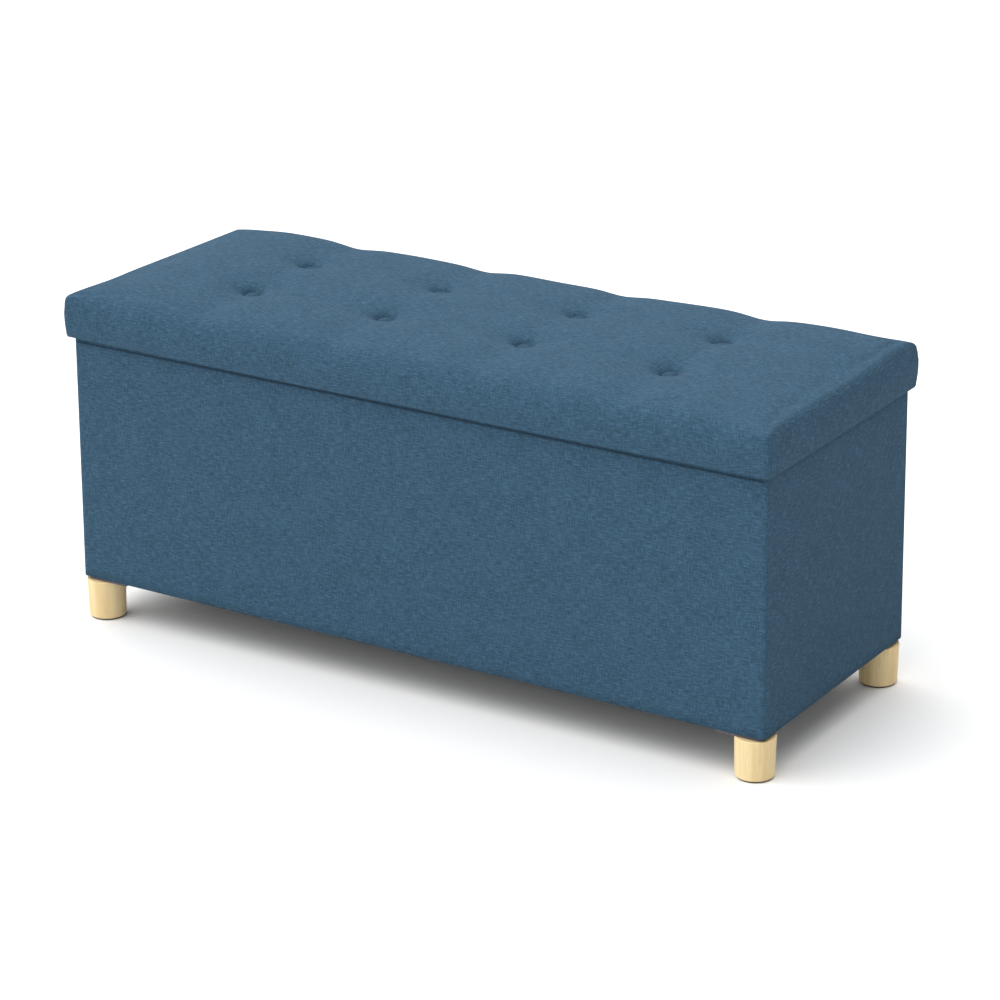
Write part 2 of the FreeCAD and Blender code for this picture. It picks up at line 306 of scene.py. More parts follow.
def corner_columns(size: Span, fine: float, coarse: float, reach: float) -> Columns:
    """Columns that are close together at the corners.

    Args:
        size: the bench's or the sheet's length and depth.
        fine: spacing at a corner.
        coarse: spacing far from one.
        reach: how far a corner's detail spreads.

    Returns:
        The columns.
    """
    return Columns(*(marks(run, [0.0, run], fine, coarse, reach) for run in size))


@dataclass
class Skin:
    """Points, faces and cloth coordinates gathered for one mesh."""

    points: list[Array] = field(default_factory=list)
    faces: list[Array] = field(default_factory=list)
    cloth: list[Array] = field(default_factory=list)
    count: int = 0

    def add(self, points: Array) -> Array:
        """Add points and return their numbers in the same arrangement."""
        flat = points.reshape(-1, 3)
        numbers = self.count + np.arange(len(flat))
        self.points.append(flat)
        self.count += len(flat)
        return numbers.reshape(points.shape[:-1])

    def weave(self, grid: Array, cloth: Array, flip: bool = False) -> None:
        """Face a grid of point numbers.

        Args:
            grid: point numbers, rows by columns.
            cloth: cloth coordinates of each grid point.
            flip: turn the faces over.
        """
        corners = ((0, 0), (0, 1), (1, 1), (1, 0))
        if flip:
            corners = corners[::-1]
        rows, cols = grid.shape[0] - 1, grid.shape[1] - 1
        quads = [grid[r : r + rows, c : c + cols].reshape(-1) for r, c in corners]
        maps = [cloth[r : r + rows, c : c + cols].reshape(-1, 2) for r, c in corners]
        self.faces.append(np.stack(quads, axis=1))
        self.cloth.append(np.stack(maps, axis=1))

    def wrap(self, rings: Array, columns: Columns, cloth: Array, flip: bool = False) -> None:
        """Face rings of point numbers, side by side, each side with its own cloth coordinates.

        Args:
            rings: point numbers, rings by columns.
            columns: the columns that the rings share.
            cloth: for each ring its distance down the cloth, by columns.
            flip: turn the faces over.
        """
        for side, span in columns.spans():
            parts = columns.parts(side) - 0.5
            reach = self.reach(rings, span)
            across = np.broadcast_to(parts * reach, (len(rings), len(span))) + side.value * SIDE_SHIFT
            self.weave(rings[:, span], np.stack([across, cloth[:, span]], axis=-1), flip)

    def reach(self, rings: Array, span: Array) -> float:
        """Length of one side of the first ring."""
        every = np.concatenate(self.points)
        ends = every[rings[0, span[[0, -1]]]]
        return float(np.linalg.norm(ends[1] - ends[0]))

    def build(self, name: str, wear: Array | None = None, painted_shade: Array | None = None) -> bpy.types.Object:
        """Make the mesh object.

        Args:
            name: the piece's name.
            wear: how much paler each point is, by wear and, along the lid's hem, by painted highlight, from 0
                to 1.
            painted_shade: how much painted shade darkens each point, from 0 to 1.

        Returns:
            The new object, linked to the scene.
        """
        faces = np.concatenate(self.faces)
        mesh = bpy.data.meshes.new(name)
        mesh.from_pydata(np.concatenate(self.points).tolist(), [], faces.tolist())
        layer = mesh.uv_layers.new(name=CLOTH_MAP)
        layer.data.foreach_set("uv", np.concatenate(self.cloth).astype(np.float32).reshape(-1))
        for label, values in ((WEAR_AND_HIGHLIGHT, wear), (PAINTED_SHADE, painted_shade)):
            layer = mesh.attributes.new(label, "FLOAT", "POINT")
            if values is not None:
                layer.data.foreach_set("value", values.astype(np.float32))
        mesh.shade_smooth()
        made = bpy.data.objects.new(name, mesh)
        bpy.context.scene.collection.objects.link(made)
        return made


def thicken(piece: bpy.types.Object, thickness: float) -> None:
    """Give a single layer of cloth its thickness, inwards."""
    layer = piece.modifiers.new("thickness", "SOLIDIFY")
    layer.thickness = thickness
    layer.offset = -1.0
    layer.use_even_offset = False


def soften(piece: bpy.types.Object, width: float, segments: int = 2) -> None:
    """Round a hard piece's edges a little."""
    edge = piece.modifiers.new("softened edges", "BEVEL")
    edge.width = width
    edge.segments = segments
    edge.limit_method = "ANGLE"
    edge.angle_limit = SHARP_EDGE
    edge.harden_normals = True


def stack(plan: Array, heights: Array | float) -> Array:
    """Plan points with their heights, as (x, y, z)."""
    column = np.broadcast_to(np.asarray(heights, float), plan.shape[:-1])
    return np.concatenate([plan, column[..., None]], axis=-1)


def down_the_cloth(layers: Sequence[Array]) -> Array:
    """Distance down the cloth from the first layer to each layer, by columns."""
    steps = [np.linalg.norm(after - before, axis=1) for before, after in zip(layers, layers[1:])]
    return np.cumsum([np.zeros(len(layers[0])), *steps], axis=0)


def centre(node: str) -> Vector:
    """The middle of a node's box."""
    low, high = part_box(node)
    return (low + high) / 2


@dataclass
class Settling:
    """Lets taut cloth puff and pucker over its padding, held where it is tied and stapled."""

    pressure: float = 3.0
    stiffness: float = 9.0
    shear_share: float = 0.4
    bending: float = 0.05
    pin: float = 2.0
    cloth_mass: float = 0.35
    quality: int = 6
    last_frame: int = 20
    cap: float = 0.0022
    sink: float = 0.0006

    def run(self, piece: bpy.types.Object, held: Array) -> None:
        """Settle the piece and keep the result in its mesh.

        Args:
            piece: the cloth.
            held: how firmly each point is held, from 0 to 1.
        """
        after = self.simulate(piece, held)
        before = read_points(piece.data)
        facing = np.empty(len(before) * 3, np.float32)
        piece.data.vertex_normals.foreach_get("vector", facing)
        kept = before + self.limit(after - before, facing.reshape(-1, 3))
        LOG.info("%s settled by %.1f mm at most", piece.name, 1000 * np.abs(kept - before).max())
        piece.data.vertices.foreach_set("co", kept.astype(np.float32).reshape(-1))
        piece.data.update()

    def simulate(self, piece: bpy.types.Object, held: Array) -> Array:
        """Run the cloth through its frames.

        Args:
            piece: the cloth.
            held: how firmly each point is held, from 0 to 1.

        Returns:
            The points of the settled cloth.
        """
        group = piece.vertex_groups.new(name="held")
        levels = np.round(np.clip(held, 0.0, 1.0), 2)
        for level in np.unique(levels[levels > 0]):
            group.add(np.flatnonzero(levels == level).tolist(), float(level), "REPLACE")
        cloth = piece.modifiers.new("settling", "CLOTH")
        self.tune(cloth, group.name)
        scene = bpy.context.scene
        for number in range(1, self.last_frame + 1):
            scene.frame_set(number)
        settled = piece.evaluated_get(bpy.context.evaluated_depsgraph_get()).to_mesh()
        after = read_points(settled)
        piece.modifiers.remove(cloth)
        piece.vertex_groups.remove(group)
        scene.frame_set(1)
        return after

    def limit(self, move: Array, facing: Array) -> Array:
        """Keep the moves small, smaller still where they sink into the padding.

        Args:
            move: each point's move.
            facing: the direction that each point faces.

        Returns:
            The moves to keep.
        """
        along = np.sum(move * facing, axis=1, keepdims=True)
        move = move - facing * np.minimum(along + self.sink, 0.0)
        size = np.linalg.norm(move, axis=1, keepdims=True)
        return move * self.cap * np.tanh(size / self.cap) / np.maximum(size, TINY)

    def tune(self, cloth: bpy.types.Modifier, group: str) -> None:
        """Set the cloth's stiffness, its pressure and what holds it."""
        cloth.point_cache.frame_start = 1
        cloth.point_cache.frame_end = self.last_frame
        cloth.collision_settings.use_collision = False
        settings = cloth.settings
        settings.quality = self.quality
        settings.mass = self.cloth_mass
        settings.use_pressure = True
        settings.uniform_pressure_force = self.pressure
        settings.effector_weights.gravity = 0.0
        settings.vertex_group_mass = group
        settings.pin_stiffness = self.pin
        settings.tension_stiffness = self.stiffness
        settings.compression_stiffness = self.stiffness
        settings.shear_stiffness = self.stiffness * self.shear_share
        settings.bending_stiffness = self.bending


def read_points(mesh: bpy.types.Mesh) -> Array:
    """The mesh's points, one row each."""
    flat = np.empty(len(mesh.vertices) * 3, np.float32)
    mesh.vertices.foreach_get("co", flat)
    return flat.reshape(-1, 3).astype(float)


# ---------------------------------------------------------------- finishes
class Graph:
    """The node tree of one material, with short calls that make and link its nodes."""

    def __init__(self, name: str) -> None:
        """Start an empty material of the given name."""
        self.material = bpy.data.materials.new(name)
        self.material.use_nodes = True
        self.tree = self.material.node_tree
        self.tree.nodes.clear()

    def node(self, kind: str, inputs: dict | None = None, **settings: object) -> bpy.types.Node:
        """Make a node.

        Args:
            kind: the node's type, without its ShaderNode prefix.
            inputs: a socket or a value for each named or numbered input.
            settings: the node's own settings.

        Returns:
            The new node.
        """
        made = self.tree.nodes.new("ShaderNode" + kind)
        for name, value in settings.items():
            setattr(made, name, value)
        for name, value in (inputs or {}).items():
            if isinstance(value, Socket):
                self.tree.links.new(value, made.inputs[name])
            else:
                made.inputs[name].default_value = value
        return made

    def cloth(self) -> Socket:
        """The cloth's own coordinates, in metres."""
        return self.node("UVMap", uv_map=CLOTH_MAP).outputs[0]

    def place(self) -> Socket:
        """The point's place in the bench, in metres."""
        return self.node("TexCoord").outputs["Object"]

    def worn_and_highlit(self) -> Socket:
        """How rubbed the point is."""
        # How much paler the point is, by wear and by painted highlight along the lid's hem.
        return self.node("Attribute", attribute_name=WEAR_AND_HIGHLIGHT).outputs["Fac"]

    def shaded(self) -> Socket:
        """How much painted shade darkens the point."""
        return self.node("Attribute", attribute_name=PAINTED_SHADE).outputs["Fac"]

    def scale(self, vector: Socket, by: Colour) -> Socket:
        """Stretch coordinates."""
        return self.node("VectorMath", {0: vector, 1: by}, operation="MULTIPLY").outputs[0]

    def noise(self, vector: Socket, scale: float, detail: float = 2.0) -> Socket:
        """Soft random values from 0 to 1."""
        return self.node("TexNoise", {"Vector": vector, "Scale": scale, "Detail": detail}).outputs[0]

    def math(self, operation: str, a: object, b: object = 0.0) -> Socket:
        """One calculation on two values."""
        return self.node("Math", {0: a, 1: b}, operation=operation).outputs[0]

    def weaken(self, value: object, by: float) -> Socket:
        """A value times a constant."""
        return self.math("MULTIPLY", value, by)

    def ramp(self, value: object, low: float, high: float, start: float = 0.0, end: float = 1.0) -> Socket:
        """Map a value's range smoothly onto another.

        Args:
            value: the value.
            low: where the rise begins.
            high: where it ends.
            start: the result below low.
            end: the result above high.

        Returns:
            The mapped value.
        """
        ends = {"Value": value, "From Min": low, "From Max": high, "To Min": start, "To Max": end}
        return self.node("MapRange", ends, interpolation_type="SMOOTHSTEP").outputs[0]

    def mix(self, factor: object, a: object, b: object) -> Socket:
        """Blend two colours."""
        return self.node("Mix", {0: factor, 6: opaque(a), 7: opaque(b)}, data_type="RGBA").outputs[2]

    def clouds(self, noise: Socket, colour: Colour, low: float, high: float) -> Socket:
        """One colour in soft patches, from low to high times its brightness."""
        return self.mix(self.ramp(noise, *MIDDLE), shade(colour, low), shade(colour, high))

    def wave(self, value: object, pitch: float) -> Socket:
        """A sine from -1 to 1 that repeats every two pitches."""
        return self.math("SINE", self.math("MULTIPLY", value, math.pi / pitch))

    def bump(self, height: object, distance: float, strength: float) -> Socket:
        """Raise the surface by height times distance."""
        return self.node("Bump", {"Height": height, "Distance": distance, "Strength": strength}).outputs[0]

    def close(
        self, colour: object, roughness: object, normal: object = None, **shine: object
    ) -> bpy.types.Material:
        """End the tree in one surface shader.

        Args:
            colour: base colour, a socket or a value.
            roughness: a socket or a value.
            normal: a bump, if there is one.
            shine: constant values for the shader's other sockets, by their names in SHINE.

        Returns:
            The finished material.
        """
        inputs = {"Base Color": opaque(colour), "Roughness": roughness}
        if normal is not None:
            inputs["Normal"] = normal
        for name, value in shine.items():
            inputs[SHINE[name]] = opaque(value)
        surface = self.node("BsdfPrincipled", inputs)
        self.node("OutputMaterial", {"Surface": surface.outputs[0]})
        return self.material


def opaque(colour: object) -> object:
    """A three-part colour with full opacity added; anything else as it is."""
    return (*colour, 1.0) if isinstance(colour, tuple) and len(colour) == 3 else colour


def shade(colour: Colour, by: float) -> Colour:
    """A colour made lighter or darker."""
    return tuple(min(1.0, part * by) for part in colour)


@dataclass(frozen=True)
class Slub:
    """One kind of slub: the noise that makes it, how much it tints the cloth and with what brightness."""

    span: Span
    share: float
    by: float
    upright: bool = False
    height: float = 0.0


@dataclass(frozen=True)
class LinenFinish:
    """Blue melange linen: a plain weave with lighter and darker slubs."""

    colour: Colour = (0.0340, 0.0755, 0.1195)
    thread: float = 0.00085
    sway: float = 1.4
    slub_length: float = 0.0105
    slub_width: float = 0.0014
    slubs: tuple[Slub, ...] = (
        Slub((0.53, 0.66), 0.75, 1.72, height=0.55),
        Slub((0.47, 0.34), 0.62, 0.52),
        Slub((0.55, 0.68), 0.7, 1.55, upright=True, height=0.4),
        Slub((0.45, 0.32), 0.6, 0.58, upright=True),
    )
    # Paler wear, which along the lid's hem is also a painted highlight, as a share and a brightness.
    wear_and_highlight_share: float = 0.3
    wear_and_highlight_by: float = 1.45
    # Painted shade, as a share and the brightness that it darkens to.
    painted_shade_share: float = 0.8
    painted_shade_by: float = 0.24
    relief: float = 0.00022

    def tint(self, g: Graph, tone: object, factor: object, by: float) -> Socket:
        """Blend the tone towards the linen's colour made lighter or darker."""
        return g.mix(factor, tone, shade(self.colour, by))

    def material(self) -> bpy.types.Material:
        """Build the material on the cloth coordinates."""
        g = Graph("blue linen")
        cloth = g.cloth()
        axes = g.node("SeparateXYZ", {0: cloth})
        sway = g.weaken(g.noise(cloth, 90.0), self.thread * self.sway)
        warp = g.wave(g.math("ADD", axes.outputs[0], sway), self.thread)
        weft = g.wave(g.math("ADD", axes.outputs[1], sway), self.thread)
        crossing = g.math("MULTIPLY", warp, weft)
        grainy = g.noise(cloth, 620.0, 4.0)
        tone = g.clouds(g.noise(cloth, 26.0, 3.0), self.colour, 0.93, 1.07)
        height = g.weaken(crossing, 0.5)
        long_way, short_way = 1 / self.slub_length, 1 / self.slub_width
        level = g.noise(g.scale(cloth, (long_way, short_way, 1.0)), 1.0)
        upright = g.noise(g.scale(cloth, (short_way, long_way, 1.0)), 1.0)
        for slub in self.slubs:
            amount = g.ramp(upright if slub.upright else level, *slub.span)
            tone = self.tint(g, tone, g.weaken(amount, slub.share), slub.by)
            if slub.height:
                height = g.math("ADD", height, g.weaken(amount, slub.height))
        tone = self.tint(g, tone, g.ramp(grainy, 0.35, 0.65, 0.0, 0.16), 1.5)
        tone = self.tint(g, tone, g.ramp(crossing, -0.9, 0.6, 0.30, 0.0), 0.5)
        # Paler where worn, and along the lid's hem a painted highlight.
        tone = self.tint(g, tone, g.weaken(g.worn_and_highlit(), self.wear_and_highlight_share), self.wear_and_highlight_by)
        # Darker where shade is painted.
        tone = self.tint(g, tone, g.weaken(g.shaded(), self.painted_shade_share), self.painted_shade_by)
        height = g.math("ADD", height, g.weaken(grainy, 0.35))
        rough = g.ramp(grainy, *MIDDLE, 0.84, 0.97)
        shine = {"specular": 0.06, "sheen": 0.05, "sheen_roughness": 0.5, "sheen_tint": (0.62, 0.76, 0.9)}
        return g.close(tone, rough, g.bump(height, self.relief, 0.75), **shine)


@dataclass(frozen=True)
class WovenLining:
    """Black spun-bonded lining with a fine pressed pattern."""

    colour: Colour = (0.016, 0.017, 0.019)
    pitch: float = 0.0014
    relief: float = 0.0002

    def material(self) -> bpy.types.Material:
        """Build the material on the cloth coordinates."""
        g = Graph("black lining")
        cloth = g.cloth()
        axes = g.node("SeparateXYZ", {0: cloth})
        across, up = (g.wave(axes.outputs[number], self.pitch) for number in (0, 1))
        dots = g.math("MULTIPLY", across, up)
        pressed = g.ramp(dots, 0.25, 0.8)
        fibres = g.noise(g.scale(cloth, (900.0, 260.0, 1.0)), 1.0, 4.0)
        tone = g.clouds(g.noise(cloth, 35.0, 3.0), self.colour, 0.75, 1.35)
        tone = g.mix(g.ramp(fibres, 0.5, 0.75, 0.0, 0.6), tone, shade(self.colour, 3.0))
        tone = g.mix(g.weaken(pressed, 0.5), tone, shade(self.colour, 0.5))
        height = g.math("SUBTRACT", g.weaken(fibres, 0.5), pressed)
        rough = g.ramp(pressed, 0.0, 1.0, 0.85, 0.55)
        return g.close(tone, rough, g.bump(height, self.relief, 0.7), specular=0.3, sheen=0.08)


class Grain(Enum):
    """Which way a board's or a turned piece's grain runs."""

    ALONG_X = (14.0, 260.0, 260.0)
    ALONG_Z = (260.0, 260.0, 14.0)


@dataclass(frozen=True)
class WoodFinish:
    """Pale wood with soft figure, fine pores and darker end grain."""

    name: str
    light: Colour
    dark: Colour
    grain: Grain = Grain.ALONG_Z
    coat: float = 0.0
    pores: float = 0.6
    relief: float = 0.00012

    def material(self) -> bpy.types.Material:
        """Build the material on the piece's place, with end grain on the faces across the grain."""
        g = Graph(self.name)
        place = g.place()
        figure = self.drawn(g, place, 0.22, 5.0)
        streak = self.drawn(g, place, 1.6, 3.0)
        pore = self.drawn(g, place, 5.0, 1.0)
        tone = g.mix(g.ramp(figure, 0.35, 0.68), self.light, self.dark)
        tone = g.mix(g.ramp(streak, 0.5, 0.75, 0.0, 0.35), tone, shade(self.dark, 0.86))
        speck = g.weaken(g.ramp(pore, 0.62, 0.72), self.pores)
        tone = g.mix(speck, tone, shade(self.dark, 0.62))
        end_tone = g.mix(g.noise(place, 420.0, 3.0), shade(self.dark, 0.7), shade(self.light, 0.9))
        tone = g.mix(g.weaken(self.end_face(g), 0.5), tone, end_tone)
        height = g.math("SUBTRACT", g.weaken(streak, 0.5), speck)
        rough = g.ramp(streak, *MIDDLE, 0.46, 0.62)
        normal = g.bump(height, self.relief, 0.5)
        return g.close(tone, rough, normal, specular=0.42, coat=self.coat, coat_roughness=0.28)

    def drawn(self, g: Graph, place: Socket, by: float, detail: float) -> Socket:
        """Noise drawn out along the grain and made finer by a factor."""
        return g.noise(g.scale(place, tuple(part * by for part in self.grain.value)), 1.0, detail)

    def end_face(self, g: Graph) -> Socket:
        """One on the faces that cut across the grain, zero on the others."""
        run = self.grain.value
        facing = g.node("SeparateXYZ", {0: g.node("NewGeometry").outputs["Normal"]})
        return g.ramp(g.math("ABSOLUTE", facing.outputs[run.index(min(run))]), 0.6, 0.85)


@dataclass(frozen=True)
class GrainyFinish:
    """A surface with clouds, specks and a fine tooth: fibreboard, paint, felt and plastic."""

    name: str
    colour: Colour
    speck: Colour
    cloud_scale: float = 30.0
    speck_scale: float = 900.0
    speck_share: float = 0.3
    tooth: float = 0.0001
    roughness: Span = (0.6, 0.8)
    subsurface: float = 0.0

    def material(self) -> bpy.types.Material:
        """Build the material on the piece's place."""
        g = Graph(self.name)
        place = g.place()
        fleck = g.noise(place, self.speck_scale, 3.0)
        tone = g.clouds(g.noise(place, self.cloud_scale, 4.0), self.colour, 0.92, 1.08)
        tone = g.mix(g.ramp(fleck, 0.5, 0.72, 0.0, self.speck_share), tone, self.speck)
        rough = g.ramp(fleck, *MIDDLE, *self.roughness)
        return g.close(tone, rough, g.bump(fleck, self.tooth, 0.6), specular=0.4, subsurface=self.subsurface)


@dataclass(frozen=True)
class FoamFinish:
    """Open-cell upholstery foam."""

    colour: Colour = (0.78, 0.69, 0.46)
    cell: float = 0.0011
    relief: float = 0.0004

    def material(self) -> bpy.types.Material:
        """Build the material on the piece's place."""
        g = Graph("foam")
        place = g.place()
        cells = g.node("TexVoronoi", {"Vector": place, "Scale": 1 / self.cell}).outputs["Distance"]
        tone = g.clouds(g.noise(place, 22.0, 3.0), self.colour, 0.94, 1.04)
        tone = g.mix(g.ramp(cells, 0.45, 0.1, 0.0, 0.5), tone, shade(self.colour, 0.55))
        rough = g.ramp(cells, 0.0, 0.6, 1.0, 0.85)
        return g.close(tone, rough, g.bump(cells, self.relief, 0.8), specular=0.2, sheen=0.2)


@dataclass(frozen=True)
class MetalFinish:
    """Plated steel with faint drawing marks and cloudy patches."""

    name: str
    colour: Colour
    stain: Colour
    roughness: Span = (0.24, 0.46)
    relief: float = 0.00003

    def material(self) -> bpy.types.Material:
        """Build the material on the piece's place."""
        g = Graph(self.name)
        place = g.place()
        cloud = g.noise(place, 260.0, 4.0)
        drawn = g.noise(g.scale(place, (2400.0, 2400.0, 300.0)), 1.0, 2.0)
        tone = g.mix(g.ramp(cloud, 0.4, 0.75, 0.0, 0.6), self.colour, self.stain)
        rough = g.ramp(cloud, *MIDDLE, *self.roughness)
        return g.close(tone, rough, g.bump(drawn, self.relief, 0.5), metallic=1.0)


@dataclass(frozen=True)
class TwineFinish:
    """Twisted tufting twine."""

    colour: Colour = (0.72, 0.68, 0.58)
    lay: float = 0.0016
    slant: float = 0.8
    relief: float = 0.0003

    def material(self) -> bpy.types.Material:
        """Build the material on the piece's place, its strands running upwards at a slant."""
        g = Graph("tufting twine")
        place = g.place()
        axes = g.node("SeparateXYZ", {0: place})
        slant = g.math("ADD", axes.outputs[2], g.weaken(axes.outputs[0], self.slant))
        strand = g.wave(slant, self.lay)
        hairs = g.noise(place, 1500.0, 2.0)
        tone = g.mix(g.ramp(strand, -0.9, 0.4), shade(self.colour, 0.5), self.colour)
        tone = g.mix(g.weaken(hairs, 0.3), tone, shade(self.colour, 1.25))
        return g.close(tone, g.ramp(hairs, *MIDDLE, 0.75, 0.95), g.bump(strand, self.relief, 0.8), sheen=0.2)


class Finish(Enum):
    """Every finish on the bench, under the name of the record's slot that it belongs to."""

    LINEN = ("blue_linen", LinenFinish())
    LINING = ("black_lining", WovenLining())
    FOAM = ("foam", FoamFinish())
    FIBREBOARD = (
        "fibreboard",
        GrainyFinish("fibreboard", (0.42, 0.30, 0.19), (0.62, 0.50, 0.36), speck_scale=1400.0),
    )
    PLYWOOD = ("plywood", WoodFinish("plywood", (0.74, 0.58, 0.38), (0.60, 0.43, 0.25), Grain.ALONG_X))
    BEECH = (
        "pale_wood",
        WoodFinish("pale beech", (0.76, 0.605, 0.33), (0.67, 0.50, 0.25), coat=0.12, pores=0.3),
    )
    PLATE = (
        "grey_plate",
        GrainyFinish(
            name="grey plate",
            colour=(0.085, 0.074, 0.090),
            speck=(0.15, 0.14, 0.155),
            cloud_scale=60.0,
            speck_scale=2200.0,
            speck_share=0.4,
            tooth=0.00006,
            roughness=(0.42, 0.56),
        ),
    )
    ZINC = ("bright_zinc", MetalFinish("bright zinc", (0.62, 0.64, 0.66), (0.45, 0.46, 0.48)))
    YELLOW_ZINC = ("yellow_zinc", MetalFinish("yellow zinc", (0.70, 0.56, 0.27), (0.55, 0.42, 0.30)))
    PAD = (
        "dark_pad",
        GrainyFinish(
            name="foot pad",
            colour=(0.045, 0.042, 0.042),
            speck=(0.1, 0.1, 0.1),
            cloud_scale=90.0,
            speck_scale=1800.0,
            speck_share=0.5,
            tooth=0.0003,
            roughness=(0.85, 1.0),
        ),
    )
    PLASTIC = (
        "white_plastic",
        GrainyFinish(
            name="white plastic",
            colour=(0.80, 0.80, 0.77),
            speck=(0.72, 0.72, 0.70),
            cloud_scale=50.0,
            speck_scale=1200.0,
            speck_share=0.2,
            tooth=0.00004,
            roughness=(0.32, 0.42),
            subsurface=0.05,
        ),
    )
    TWINE = ("tie_twine", TwineFinish())

    @property
    def slot(self) -> str:
        """The record's slot."""
        return self.value[0]

    def material(self) -> bpy.types.Material:
        """This finish's material, made once."""
        if self not in MADE:
            MADE[self] = self.value[1].material()
        return MADE[self]

    def dress(self, piece: bpy.types.Object) -> None:
        """Give a piece this finish."""
        piece.data.materials.clear()
        piece.data.materials.append(self.material())


MADE: dict[Finish, bpy.types.Material] = {}


@dataclass
class Piece:
    """Settles a new piece: its finish, its body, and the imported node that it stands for."""

    object: bpy.types.Object
    finish: Finish
    body: Body
    node: str

    def settle(self) -> bpy.types.Object:
        """Dress the piece, make it ride and hide the node that it replaces."""
        self.finish.dress(self.object)
        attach(self.object, self.body.value)
        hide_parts(self.node)
        LOG.info("%s rides on the %s", self.object.name, self.body.value)
        return self.object


# ---------------------------------------------------------------- the lid's soft form
@dataclass
class LidForm:
    """The padded lid's outside: crowned, pulled down at eight tufts, with soft shoulders and a skirt."""

    # The skirt's corners, and the shoulders above it with the distance they take to ease round a corner.
    corner_radius: float = 0.0042
    long_shoulder: float = 0.024
    end_shoulder: float = 0.009
    front_corner: float = 0.0055
    rear_corner: float = 0.012
    long_ease: float = 0.07
    end_ease: float = 0.035
    # The crown: how far it falls or lifts towards each edge, and over which stretch.
    long_drop: float = 0.006
    end_drop: float = 0.0085
    rear_drop: float = 0.0016
    rear_drop_fade: Span = (0.42, 0.30)
    rear_lift: float = 0.0035
    rear_lift_run: Span = (0.02, 0.32)
    end_sag: float = 0.0032
    sag_run: Span = (0.1, -0.1)
    run_in: float = 0.105
    run_limit: float = 1.2
    edge_fade: Span = (0.40, 0.47)
    edge_share: float = 0.55
    rise: float = 0.0010
    unevenness: float = 0.0007
    ripple: Ripple = Ripple(seed=5, wavelength=0.16)
    # The tufts: the flat seat under a button, the dent round it, its creases, the trough out to the
    # long edge and the shallow valley along each row.
    seat: float = 0.0085
    tuft_depth: float = 0.0130
    tuft_reach: float = 0.0120
    tuft_spread: float = 0.02
    gather: float = 0.0007
    gather_reach: float = 0.009
    gather_start: float = 0.003
    column_depth: float = 0.0042
    column_width: float = 0.030
    column_floor: float = 0.12
    column_rise: Span = (-0.01, 0.05)
    column_half: Span = (-0.03, 0.03)
    row_depth: float = 0.0012
    row_width: float = 0.022
    row_fade: Span = (0.46, 0.30)
    fine_reach: float = 0.017
    low: Vector = field(init=False)
    high: Vector = field(init=False)
    tufts: list[Vector] = field(init=False)

    def __post_init__(self) -> None:
        """Take the lid's size and its tufts from the frame."""
        self.low, self.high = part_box("lid_cover")
        self.tufts = [centre(name) for name in sorted(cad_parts) if name.startswith("tuft_button_")]

    @property
    def outline(self) -> Outline:
        """The skirt's outline."""
        return Outline(self.high.x, self.high.y, self.corner_radius)

    @property
    def top_outline(self) -> Outline:
        """Where the shoulders start."""
        return Outline(self.high.x - self.end_shoulder, self.high.y - self.long_shoulder)

    def columns(self, fine: float, coarse: float) -> Columns:
        """Columns that are close together at the corners and near the tufts."""
        top, spots_x, spots_y = self.top_outline, {t.x for t in self.tufts}, {t.y for t in self.tufts}
        hot_x = [0.0, 2 * top.half_x, *(top.half_x + x for x in spots_x)]
        hot_y = [0.0, 2 * top.half_y, *(top.half_y + y for y in spots_y)]
        return Columns(
            marks(2 * top.half_x, sorted(hot_x), fine, coarse, self.fine_reach),
            marks(2 * top.half_y, sorted(hot_y), fine, coarse, self.fine_reach),
        )

    def crown(self, x: Array, y: Array) -> Array:
        """Height of the smooth crown, before the tufts pull it down."""
        flat = self.top_outline
        rearwards = smooth(0.0, flat.half_y, y)
        across = self.high.z - self.long_drop * (y / flat.half_y) ** 2
        across = across - self.rear_drop * rearwards * smooth(*self.rear_drop_fade, np.abs(x))
        across = across + self.rear_lift * rearwards * smooth(*self.rear_lift_run, x)
        sag = self.end_sag * smooth(-flat.half_y, -flat.half_y / 2, y) * smooth(*self.sag_run, x)
        end_top = self.high.z - self.end_drop + self.rear_lift * rearwards * np.sign(x) - sag
        run = np.clip((np.abs(x) - (flat.half_x - self.run_in)) / self.run_in, 0.0, self.run_limit)
        return end_top + (across - end_top) * (1.0 - run**2)

    def dent(self, tuft: Vector, turn: int, x: Array, y: Array) -> Array:
        """How far one tuft pulls the cloth down.

        Args:
            tuft: the button's middle.
            turn: the button's number, which turns its creases.
            x: places along the bench.
            y: places across it.

        Returns:
            The pull at each place: the dent, its creases and the trough out to the lid's long edge.
        """
        off_x, off_y = x - tuft.x, y - tuft.y
        out = np.clip(np.hypot(off_x, off_y) - self.seat, 0.0, None)
        hollow = np.exp(-out / self.tuft_reach) / np.sqrt(1.0 + out / self.tuft_spread)
        angle = np.arctan2(off_y, off_x)
        folds = np.cos(7 * angle + 1.7 * turn) + 0.7 * np.cos(4 * angle + 2.9 * turn)
        ruck = self.gather * folds * np.exp(-out / self.gather_reach)
        ruck = ruck * smooth(0.0, self.gather_start, out)
        side = math.copysign(1.0, tuft.y)
        deepening = self.column_floor + (1 - self.column_floor) * smooth(*self.column_rise, off_y * side)
        own_half = smooth(*self.column_half, y * side)
        trough = self.column_depth * bell(off_x, self.column_width) * deepening * own_half
        return self.tuft_depth * hollow + ruck + trough

    def pull(self, x: Array, y: Array) -> Array:
        """How far the tufts and their creases pull the cloth down."""
        total = np.zeros(np.broadcast(x, y).shape)
        for number, tuft in enumerate(self.tufts):
            total = total + self.dent(tuft, number, x, y)
        for row in sorted({tuft.y for tuft in self.tufts}):
            fade = smooth(*self.row_fade, np.abs(x))
            total = total + self.row_depth * bell(y - row, self.row_width) * fade
        return total

